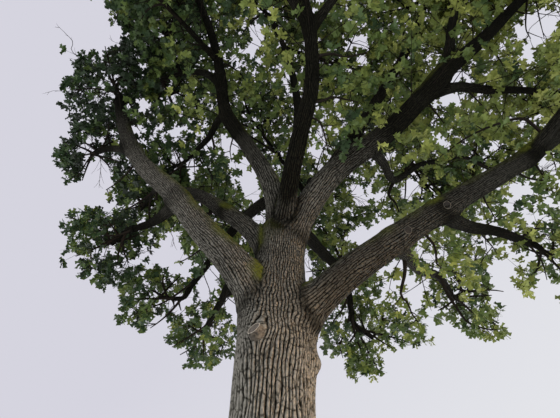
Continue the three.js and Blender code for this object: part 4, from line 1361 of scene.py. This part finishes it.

# %% [markdown]
# Twigs are too young for furrows. Their bark is smooth, grey-brown and finely speckled, so a
# noise between two browns is enough, and it is drawn coarse enough to show at this distance. The
# browns are near black: partly the twigs' own dark bark, partly painted shade against the sky.

# %% Twig bark
def twig_bark():
    """Smooth speckled bark for everything thinner than a branch."""
    material, tree, shader = new_material("grey-brown twig bark")
    here = add_node(tree, "ShaderNodeTexCoord").outputs["Object"]
    speckle = add_node(tree, "ShaderNodeTexNoise", None, {"Vector": here, "Scale": 60.0, "Detail": 3.0})
    tint = add_node(tree, "ShaderNodeValToRGB", None, {"Fac": speckle.outputs["Fac"]})
    # Near black, partly painted shade.
    tint.color_ramp.elements[0].color = linear("#0e0b08")
    tint.color_ramp.elements[1].color = linear("#332d25")
    tree.links.new(tint.outputs["Color"], shader.inputs["Base Color"])
    shader.inputs["Roughness"].default_value = 0.8
    shader.inputs["Specular IOR Level"].default_value = CORK_SHINE
    return material


twig_material = twig_bark()

# %% [markdown]
# The leaves of one mass could each be an object, but thousands of objects are slow. All leaves on
# one side of the crown are one mesh instead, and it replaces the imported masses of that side. The
# twigs of all masses are another.

# %% Leaves and twigs on every mass
SIDES = {
    "left": ["leaves_upper_left", "leaves_left", "leaves_left_low", "leaves_high_left",
             "leaves_top_left", "leaves_crown_left", "leaves_left_front"],
    "inner": ["leaves_inner_left", "leaves_back_left", "leaves_low_back_left", "leaves_lowest_left",
              "leaves_low_back_right", "leaves_right_hanging", "leaves_back_low_right",
              "leaves_back_low_left"],
    "right": ["leaves_right_low", "leaves_right", "leaves_level_right", "leaves_rising_right",
              "leaves_upright_right", "leaves_back_hanging", "leaves_right_front"],
    "top": ["leaves_top", "leaves_top_middle", "leaves_inner_top", "leaves_front",
            "leaves_front_right", "leaves_front_left"],
    "back": ["leaves_back_right", "leaves_back_right_top", "leaves_back_left_high", "leaves_back",
             "leaves_back_top"],
}

# How far chance moves the green of a whole twig and of one shoot, in steps of the greens.
TWIG_SPREAD, SHOOT_SPREAD = 0.7, 0.8


def deal_tints(tone, twigs, owners, dice):
    """A green for each shoot's leaves: the mass's painted light and shade, varied by twig and shoot."""
    top = len(LEAF_GREENS) - 1
    wanted = tone * top + dice.normal(0, TWIG_SPREAD, twigs)[owners]
    wanted += dice.normal(0, SHOOT_SPREAD, len(owners))
    return np.clip(np.round(wanted), 0, top).astype(int)


def stacked(parts, faces):
    """Several meshes as one: the places one after another, and the faces renumbered to match."""
    starts = np.cumsum([0] + [len(part) for part in parts[:-1]])
    return np.vstack(parts), np.vstack([face + start for face, start in zip(faces, starts)])


twig_parts, twig_faces = [], []


def add_twigs(*orders):
    """Keeps the tubes of each order of twigs: rows of places, girth at root and tip, and sides."""
    for rows, root, tip, sides in orders:
        places, faces = twig_tubes(rows, root, tip, sides)
        twig_parts.append(places)
        twig_faces.append(faces)


def twig_piece(name):
    """One piece of the twigs kept since the last one."""
    places, faces = stacked(twig_parts, twig_faces)
    twig_parts.clear()
    twig_faces.clear()
    piece = mesh_piece(name, places, [faces], [twig_material])
    print(name, "triangles:", triangles_of(piece))


def leaf_piece(name, grown):
    """One piece of the leaves on all these shoots, the leaves of each shoot in one green."""
    places, faces, tints = [], [], []
    for sprays, shoots, owners, tone, dice in grown:
        leaf_places, leaf_faces = leaf_cluster(shoots, dice)
        places.append(leaf_places)
        faces.append(leaf_faces)
        tints.append(deal_tints(tone, len(sprays), owners, dice))
    places, faces = stacked(places, faces)
    tints = np.repeat(np.concatenate(tints), LEAVES_PER_SHOOT * (len(LOBES) - 1))
    piece = mesh_piece(name, places, [faces], leaf_materials, face_materials=tints)
    print(name, "leaves:", len(faces) // (len(LOBES) - 1), "triangles:", 2 * len(faces))
    return piece


for side, names in SIDES.items():
    grown = []
    for number, space in enumerate(spaces):
        if space["name"] in names:
            main, sprays, shoots, owners, dice = grow_mass(space, MASS_SEED * (number + 1))
            add_twigs((main, 0.034, 0.010, 5), (sprays, 0.011, 0.004, 3), (shoots, 0.0045, 0.002, 3))
            grown.append((sprays, shoots, owners, space["tone"], dice))
    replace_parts(leaf_piece(f"leaves_{side}_side", grown), *names)
twig_piece("twigs_of_the_masses")

# %% [markdown]
# Leafy shoots also spring straight from the boughs where light reaches them, and from the long
# stems that lead into the masses. They close the crown between the masses and let the boughs run
# in and out of the leaves.

# %% Leafy shoots on the limbs
# Each limb with leafy shoots: from where to where along it, and the tone of its leaves.
LEAFY_STRETCHES = {
    "rising_right_bough": (0.20, 0.80, 0.65), "front_bough": (0.50, 0.98, 0.60),
    "top_leader": (0.30, 0.98, 0.70), "upright_leader": (0.35, 0.95, 0.65),
    "rising_left_bough": (0.50, 0.95, 0.45), "level_right_branch": (0.20, 0.98, 0.70),
    "upright_right_branch": (0.15, 0.98, 0.70), "back_hanging_branch": (0.40, 0.98, 0.65),
    "right_bough": (0.80, 0.98, 0.70), "right_low_branch": (0.45, 0.95, 0.65),
    "right_hanging_branch": (0.15, 0.95, 0.65), "back_bough": (0.40, 0.98, 0.60),
    "inner_left_branch": (0.20, 0.98, 0.50), "high_left_branch": (0.30, 0.98, 0.40),
    "lowest_left_bough": (0.35, 0.90, 0.45), "low_back_left_bough": (0.40, 0.95, 0.55),
    "left_bough": (0.84, 0.99, 0.20), "back_left_branch": (0.30, 0.98, 0.45),
    "back_right_branch": (0.20, 0.98, 0.60), "front_left_branch": (0.30, 0.98, 0.50),
    "front_right_branch": (0.30, 0.98, 0.65), "right_front_branch": (0.40, 0.98, 0.70),
}
LIMB_SPRAY_STEP = 0.17
LIMB_SPRAY_LENGTH = (0.60, 1.35)
LIMB_SPRAY_SEED = 4201


def sprays_on_limb(limb, start, end, lengths, dice):
    """Sprays that leave a limb one after another by the golden angle, leaning to its tip."""
    steps = np.arange(start * limb["along"][-1], end * limb["along"][-1], LIMB_SPRAY_STEP)
    position = np.interp(steps, limb["along"], np.arange(len(limb["along"])))
    roots, ahead = between(limb["middles"], position), unit(between(limb["ahead"], position))
    sideways = square_to(ahead, np.arange(len(steps)) * GOLDEN_TURN + dice.uniform(-0.3, 0.3, len(steps)))
    towards = unit(0.5 * ahead + sideways + (0, 0, 0.2))
    length = dice.uniform(*lengths, len(steps)) + between(limb["radii"], position)
    ends = roots + towards * length[:, None]
    sprays = bent_line(roots, ends, sideways, dice, 4)
    return sprays[clear_of_wood(ends, LIMB_CLEARANCE, limb["name"]) & ~open_sky(ends)]


LONG_STEM = 1.5
STEM_STRETCH = (0.15, 0.85)
leafy = [(wood[name], *stretch) for name, stretch in LEAFY_STRETCHES.items()]
leafy += [(space["stem"], *STEM_STRETCH, space["tone"]) for space in spaces
          if space["stem"]["along"][-1] > LONG_STEM]


def leafy_stretch(limb, start, end, lengths, tone, dice):
    """Grows sprays and shoots on a stretch of a limb, keeps their twigs, and hands on the shoots."""
    sprays = sprays_on_limb(limb, start, end, lengths, dice)
    shoots, owners = shoots_on(sprays, dice, lambda roots, towards: np.full(len(roots), 1.0))
    add_twigs((sprays, 0.012, 0.004, 3), (shoots, 0.0045, 0.002, 3))
    return sprays, shoots, owners, tone, dice


grown = [leafy_stretch(limb, start, end, LIMB_SPRAY_LENGTH, tone,
                       np.random.default_rng(LIMB_SPRAY_SEED + number))
         for number, (limb, start, end, tone) in enumerate(leafy)]
leaf_piece("leaves_on_the_limbs", grown)

# %% [markdown]
# Branches also grow into the light between two masses, which rounds the crown off. One starts
# for each pair of close neighbours high in the crown: it leaves the nearest wood, runs to the
# dip between them and stops a little short of their outer edge. Ten more fill the middle of the
# top, where no two masses are near enough.

# %% Branches into the dips of the crown
DIP_FROM_HEIGHT = 11.0
CLOSE_NEIGHBOURS = 1.3
DIP_REACH = 0.80
DIP_SPRAY_LENGTH = (0.45, 1.00)
DIP_GIRTHS = (60, 16)
DIP_SEED = 907


def slim_line(corners, girths):
    """A slim branch as a limb of its own, which twigs can leave."""
    line = line_up(corners, tapering(*girths), THIN_RINGS)
    line["name"] = "slim branch"
    return line


def tip_in_the_dip(first, second):
    """Where the branch between two masses ends, or nothing where they lie too far apart."""
    apart = np.linalg.norm(second["middle"] - first["middle"])
    edge = (first["radii"][0] + second["radii"][0]) / 2
    halfway = (first["middle"] + second["middle"]) / 2
    if apart > 2 * edge * CLOSE_NEIGHBOURS or halfway[2] < DIP_FROM_HEIGHT:
        return None
    rise = math.sqrt(max(edge**2 - apart**2 / 4, 0.1))
    tip = halfway + unit(halfway - CROWN_HEART) * rise * DIP_REACH
    return np.clip(tip, *packed_box)


# The middle of the crown's top is filled too: where its branches end, in metres, and their tone.
TOP_TIPS = [(1.2, 0.3, 15.9), (0.9, -1.2, 15.5), (1.9, 0.8, 15.8), (1.5, 1.7, 15.1), (0.5, 1.0, 15.8),
            (1.4, -2.2, 14.8), (0.9, 0.3, 14.3), (1.6, 1.2, 14.0), (0.6, -0.8, 14.5), (2.1, -0.6, 15.1)]
TOP_TONE = 0.55

limb_places = np.vstack([line["middles"] for line in
                         [*wood.values(), *(space["stem"] for space in spaces)]])
tips = [(tip_in_the_dip(first, second), (first["tone"] + second["tone"]) / 2)
        for first, second in itertools.combinations(spaces, 2)]
tips = [(tip, tone) for tip, tone in tips if tip is not None]
tips += [(np.array(tip), TOP_TONE) for tip in TOP_TIPS]
grown = []
for tip, tone in tips:
    dice = np.random.default_rng(DIP_SEED + len(grown))
    root = limb_places[np.linalg.norm(limb_places - tip, axis=1).argmin()]
    elbow = (root + tip) / 2 + dice.normal(0, 0.12, 3)
    line = slim_line(np.array([root, elbow, tip]), DIP_GIRTHS)
    add_twigs((line["middles"][None], *(girth / 2 * MM for girth in DIP_GIRTHS), 5))
    grown.append(leafy_stretch(line, 0.3, 1, DIP_SPRAY_LENGTH, tone, dice))
print("branches into dips:", len(grown))
leaf_piece("leaves_in_the_dips", grown)

# %% [markdown]
# Between the masses thin dark branches wind against the light, leafy towards their tips, and at
# the edge of the crown a few dead twigs stand out bare. Where each one shows in the photograph is
# known, but a limb is what carries it. So each starts on its bearer's middle line, where that
# shows nearest the branch's first pixel, and goes on through its other pixels at about the
# bearer's depth. The dead twigs come nearer to the eye, which keeps them near the model's box.

# %% Fine branches and dead twigs
# Each: its bearer, girths in mm at root and tip, and its way in pixels across and down the frame.
FINE_BRANCHES = [
    ("right_bough", (70, 20), [(541, 128), (528, 121), (515, 119), (500, 123), (482, 130), (466, 138),
                               (453, 147), (440, 157)]),
    ("right_bough", (50, 16), [(515, 172), (528, 178), (545, 180), (556, 174)]),
    ("right_bough", (50, 16), [(530, 156), (538, 168), (545, 180), (548, 192)]),
    ("right_bough", (50, 16), [(546, 144), (552, 156), (556, 168)]),
    ("right_bough", (60, 16), [(424, 234), (432, 242), (436, 252), (437, 264), (447, 271), (455, 270)]),
    ("right_bough", (44, 14), [(481, 190), (486, 203), (491, 211), (496, 220)]),
    ("right_low_branch", (54, 18), [(521, 238), (532, 230), (543, 228), (556, 230)]),
    ("right_low_branch", (44, 14), [(478, 228), (484, 237), (492, 246), (497, 254)]),
    ("right_low_branch", (50, 14), [(527, 243), (537, 254), (543, 264), (547, 280)]),
    ("right_hanging_branch", (84, 20), [(432, 276), (441, 279), (446, 291), (452, 301), (459, 311),
                                        (466, 321), (474, 325), (486, 329), (498, 330)]),
    ("right_hanging_branch", (80, 18), [(404, 254), (405, 272), (402, 286), (401, 296), (408, 303),
                                        (411, 312), (418, 322)]),
    ("low_back_right_bough", (80, 24), [(351, 312), (353, 326), (356, 338), (361, 350), (364, 360)]),
    ("low_back_right_bough", (60, 18), [(348, 295), (342, 310), (334, 320), (330, 332)]),
    ("low_back_right_bough", (60, 18), [(351, 310), (346, 330), (340, 345), (343, 358)]),
    ("back_hanging_branch", (90, 26), [(395, 178), (391, 187), (389, 196), (395, 202), (399, 212)]),
    ("back_hanging_branch", (50, 16), [(398, 175), (408, 168), (420, 150), (416, 138), (404, 130)]),
    ("leaves_back_low_right", (60, 18), [(335, 240), (346, 226), (358, 216), (368, 212)]),
    ("rising_right_bough", (56, 18), [(424, 97), (432, 108), (440, 118), (446, 126)]),
    ("level_right_branch", (50, 16), [(464, 88), (472, 95), (480, 103), (488, 112)]),
    ("rising_right_bough", (56, 18), [(480, 38), (490, 48), (500, 60), (506, 72)]),
    ("rising_right_bough", (50, 16), [(512, 8), (522, 13), (533, 13), (541, 9)]),
    ("front_bough", (70, 20), [(312, 58), (322, 55), (334, 54), (345, 57), (356, 55), (367, 53)]),
    ("front_bough", (66, 18), [(312, 104), (322, 101), (332, 97), (344, 99), (358, 102)]),
    ("front_bough", (50, 16), [(309, 116), (319, 121), (324, 133), (328, 151)]),
    ("rising_left_bough", (60, 18), [(220, 63), (230, 66), (237, 71), (243, 77), (246, 88)]),
    ("rising_left_bough", (54, 18), [(216, 53), (206, 46), (192, 44), (186, 38), (181, 26), (178, 18)]),
    ("rising_left_bough", (44, 14), [(238, 125), (233, 138), (230, 150), (232, 162)]),
    ("inner_left_branch", (60, 18), [(208, 133), (214, 146), (212, 157), (207, 166), (212, 176),
                                     (211, 190)]),
    ("left_bough", (60, 18), [(140, 158), (130, 170), (118, 182), (106, 190)]),
    ("left_bough", (50, 16), [(212, 238), (200, 250), (188, 258), (180, 262)]),
    ("left_bough", (50, 16), [(126, 120), (134, 124), (140, 131)]),
    ("left_outer_branch", (50, 16), [(97, 152), (88, 160), (82, 170), (76, 178)]),
    ("left_outer_branch", (50, 16), [(97, 152), (80, 156), (68, 158), (60, 161)]),
    ("left_low_branch", (60, 18), [(140, 228), (112, 236), (92, 226), (68, 216)]),
    ("low_back_left_bough", (60, 18), [(196, 280), (168, 300), (150, 308), (134, 315)]),
    ("lowest_left_bough", (60, 18), [(206, 325), (192, 335), (180, 342), (172, 347)]),
]
DEAD_TWIGS = [
    ("leaves_upper_left", (30, 7), [(112, 84), (98, 76), (86, 66), (76, 55), (71, 50), (73, 42), (66, 34),
                                    (60, 28), (55, 27)]),
    ("leaves_upper_left", (22, 6), [(112, 88), (96, 93), (84, 95), (74, 92), (60, 91), (51, 91),
                                    (47, 95)]),
    ("left_outer_branch", (18, 6), [(97, 152), (100, 158), (101, 166), (100, 176), (99, 188)]),
    ("left_bough", (22, 6), [(176, 214), (173, 226), (171, 233), (174, 240), (172, 247)]),
    ("leaves_rising_right", (26, 7), [(545, -14), (556, 6), (546, 15), (537, 22), (529, 30), (530, 39),
                                      (533, 48)]),
    ("leaves_high_left", (16, 5), [(146, 60), (134, 50), (122, 44), (114, 42), (109, 38)]),
]
LEAFY_PART = (0.45, 1.0)
FINE_SPRAY_LENGTH = (0.15, 0.42)
DEPTH_DRIFT, DEAD_TWIG_DRIFT = 0.25, -0.30
SIDE_TWIG_LENGTH = (0.12, 0.45)
ROUTE_SEED = 611


def place_at(pixels, depth):
    """The places that show at these pixels of the frame, this deep in the view."""
    across, down = np.array(pixels, float).T
    sideways = (across - FRAME_WIDTH / 2)[:, None] * RIGHTWARD
    upward = (FRAME_HEIGHT / 2 - down)[:, None] * UPWARD
    return EYE + depth[:, None] * (AHEAD + (sideways + upward) / FOCAL_PIXELS)


def route_from(bearer, pixels, girths, drift):
    """A branch from its bearer through pixels: its depth drifts by this share of its length."""
    across, down, depth = seen_at(bearer["middles"])
    start = np.hypot(across - pixels[0][0], down - pixels[0][1]).argmin()
    length = np.append(0, np.cumsum(np.hypot(*np.diff(pixels, axis=0).T))) * depth[start] / FOCAL_PIXELS
    way = place_at(pixels[1:], depth[start] + drift * length[1:])
    return slim_line(np.vstack([bearer["middles"][start], way]), girths)


def side_twigs(line, count, dice):
    """Short crooked twigs that leave a line one after another by the golden angle."""
    at = np.linspace(2, len(line["middles"]) - 2, count).astype(int)
    roots, ahead = line["middles"][at], line["ahead"][at]
    sideways = square_to(ahead, np.arange(count) * GOLDEN_TURN)
    reach = dice.uniform(*SIDE_TWIG_LENGTH, count)[:, None] * np.linspace(1, 0.5, count)[:, None]
    return bent_line(roots, roots + unit(ahead + 0.8 * sideways) * reach, ahead, dice, 4)


def tone_across(pixel):
    """How sunlit the leaves are: the left of the frame lies in shade."""
    return np.interp(pixel, (60, 280, 540), (0.18, 0.45, 0.68))


bearers = {**wood, **{space["name"]: space["stem"] for space in spaces}}
dice = np.random.default_rng(ROUTE_SEED)
grown = []
for name, girths, pixels in FINE_BRANCHES:
    line = route_from(bearers[name], pixels, girths, dice.uniform(-DEPTH_DRIFT, DEPTH_DRIFT))
    add_twigs((line["middles"][None], *(girth / 2 * MM for girth in girths), 7))
    grown.append(leafy_stretch(line, *LEAFY_PART, FINE_SPRAY_LENGTH, tone_across(pixels[-1][0]), dice))
leaf_piece("leaves_on_fine_branches", grown)
for name, girths, pixels in DEAD_TWIGS:
    line = route_from(bearers[name], pixels, girths, DEAD_TWIG_DRIFT)
    add_twigs((line["middles"][None], *(girth / 2 * MM for girth in girths), 5),
              (side_twigs(line, 8, dice), 0.005, 0.002, 3))
print("fine branches:", len(FINE_BRANCHES), "dead twigs:", len(DEAD_TWIGS))

twig_piece("twigs_on_the_limbs")

# %% [markdown]
# Where small branches once left the right bough, the bark has closed round their stubs in rings.
# Each knot is the pruned cut again, small, in darker copies of its coats that paint the shade
# on the bough. The bough's ridges stand out from its plain skin, so a ray from the eye finds where
# the finished bark lies, and the knot is set on it.

# %% Healed knots on the right bough
# Each: where it shows in pixels across and down the frame, and the radius of its face in metres.
HEALED_KNOTS = [((408, 230), 0.058), ((447, 205), 0.062), ((463, 187), 0.036)]
KNOT_PROUD = 0.006

# Shaded copies of the cut's coats: their darkness is painted shade on the bough.
knot_coats = [weathered_wood("shaded young bark round a knot", "#2c2a20", "#12110d", 45, 0.85),
              weathered_wood("shaded callus", "#6b6656", "#444035", 20, 0.8),
              weathered_wood("shaded knot end grain", "#2b271e", "#100e0b", 15, 0.85)]
right_bough = wood["right_bough"]
for number, (pixel, face) in enumerate(HEALED_KNOTS):
    sight = unit(place_at([pixel], np.ones(1))[0] - EYE)
    met = np.array(bpy.data.objects["right_bough_bark"].ray_cast(EYE, sight)[1])
    _, position = nearest_on(right_bough, met[None])
    facing = unit(met - between(right_bough["middles"], position)[0])
    knot = healed_cut(f"healed_knot_{number + 1}", met + facing * KNOT_PROUD, facing, face, knot_coats)

# %% [markdown]
# A stem goes on from each limb into the middle of its mass. Leaves hide most of it, so few faces
# round it are enough, and all stems are one mesh with the same bark as the boughs.

# %% Stems of the masses
STEM_AROUND = 16
stem_skins = []
for number, space in enumerate(spaces):
    space["stem"]["number"] = len(wood) + number
    measure_bark(space["stem"])
    stem_skins.append(skin_of(space["stem"], [], STEM_AROUND))
places, faces = stacked([skin["places"] for skin in stem_skins], [skin["faces"] for skin in stem_skins])
fields = {key: np.concatenate([skin["fields"][key] for skin in stem_skins])
          for key in stem_skins[0]["fields"]}
fields["moss"] = np.zeros(len(places))
stems = mesh_piece("inner_boughs_bark", places, [faces], [oak_bark_material], fields=fields)
raise_ridges(stems)
print("stem triangles:", triangles_of(stems))

# %% [markdown]
# The tree stands on a plain pale floor under an even, slightly violet sky, which gives the soft
# light of an overcast day and brightens a little to the lower right. Outdoors bright ground also
# lights a crown from below. Four broad lamps near the ground do that here, and a warmer one
# stands to the right. They light the tree alone, so that no pools of light show on the floor.

# %% Floor, sky and lamps
FLOOR_HALF = 250
SKY_UPPER_LEFT, SKY_LOWER_RIGHT = "#d5d4df", "#e3e4e9"

# Lamps: where each stands, and its aim, size in metres, power in watts, colour and beam in degrees.
GROUND_HEADINGS, GROUND_RISE, GROUND_DISTANCE = (250, 340, 70, 160), 3, 11
GROUND_LAMP = {"aim": (0, 0, 10), "size": 7, "power": 620, "colour": "#f4f5ff", "beam": 180}
SIDE_PLACE = (8, -6, 2)
SIDE_LAMP = {"aim": (0.3, 0, 4), "size": 2.5, "power": 28, "colour": "#ffc586", "beam": 36}


def plain_floor():
    """A wide matt floor under the tree."""
    mesh = bpy.data.meshes.new("floor")
    half = FLOOR_HALF
    mesh.from_pydata([(-half, -half, 0), (half, -half, 0), (half, half, 0), (-half, half, 0)], [],
                     [(0, 1, 2, 3)])
    floor = bpy.data.objects.new("floor", mesh)
    bpy.context.scene.collection.objects.link(floor)
    material, _, shader = new_material("pale studio floor")
    shader.inputs["Base Color"].default_value = linear("#e6e3dc")
    shader.inputs["Roughness"].default_value = 0.9
    mesh.materials.append(material)
    return floor


def all_but(thing):
    """A collection that tells a lamp to light everything except this thing."""
    unlit = bpy.data.collections.new("not lit by the lamps")
    unlit.objects.link(thing)
    unlit.collection_objects[0].light_linking.link_state = "EXCLUDE"
    return unlit


def soft_lamp(name, place, lights, aim, size, power, colour, beam):
    """A square soft lamp that faces a point and lights only what its collection allows."""
    lamp = bpy.data.lights.new(name, "AREA")
    lamp.size, lamp.energy, lamp.color = size, power, linear(colour)[:3]
    lamp.spread = math.radians(beam)
    holder = bpy.data.objects.new(name, lamp)
    holder.visible_camera = False
    holder.light_linking.receiver_collection = lights
    holder.location = place
    direction = np.array(aim, float) - np.array(place, float)
    flat = math.hypot(direction[0], direction[1])
    holder.rotation_euler = (math.atan2(flat, -direction[2]), 0,
                             math.atan2(direction[1], direction[0]) - math.pi / 2)
    bpy.context.scene.collection.objects.link(holder)


def overcast_sky():
    """A world whose tint changes a little from the upper left to the lower right."""
    world = bpy.data.worlds.new("overcast sky")
    world.use_nodes = True
    tree = world.node_tree
    parts = add_node(tree, "ShaderNodeSeparateXYZ", None,
                     {0: add_node(tree, "ShaderNodeTexCoord").outputs["Generated"]}).outputs
    lower_right = add_node(tree, "ShaderNodeMath", {"operation": "SUBTRACT"}, {0: parts[0], 1: parts[2]})
    share = add_node(tree, "ShaderNodeMapRange", None,
                     {"Value": lower_right.outputs[0], "From Min": -0.6, "From Max": 0.3})
    tint = add_node(tree, "ShaderNodeMix", {"data_type": "RGBA"},
                    {0: share.outputs[0], 6: linear(SKY_UPPER_LEFT), 7: linear(SKY_LOWER_RIGHT)})
    tree.links.new(tint.outputs[2], tree.nodes["Background"].inputs["Color"])
    return world


bpy.context.scene.world = overcast_sky()
bpy.context.scene.view_settings.view_transform = "Standard"
tree_alone = all_but(plain_floor())
for number, heading in enumerate(GROUND_HEADINGS):
    soft_lamp(f"ground light {number + 1}", pointing(heading, GROUND_RISE) * GROUND_DISTANCE, tree_alone,
              **GROUND_LAMP)
soft_lamp("warm side light", SIDE_PLACE, tree_alone, **SIDE_LAMP)
print("lamps:", len(GROUND_HEADINGS) + 1)

# %% [markdown]
# The camera stands where the photographer stood, at the height of the eye beside the trunk, and
# looks up steeply. Its lens gives the same focal length in pixels as the photograph.

# %% The camera
SENSOR = 36
lens = bpy.data.cameras.new("camera")
lens.sensor_width = SENSOR
lens.lens = FOCAL_PIXELS / FRAME_WIDTH * SENSOR
lens.clip_end = 400
camera = bpy.data.objects.new("camera", lens)
camera.location = EYE
camera.rotation_euler = (math.radians(90 + LOOKING_UP), 0, 0)
bpy.context.scene.collection.objects.link(camera)
bpy.context.scene.camera = camera
print("lens:", round(lens.lens, 1), "mm")
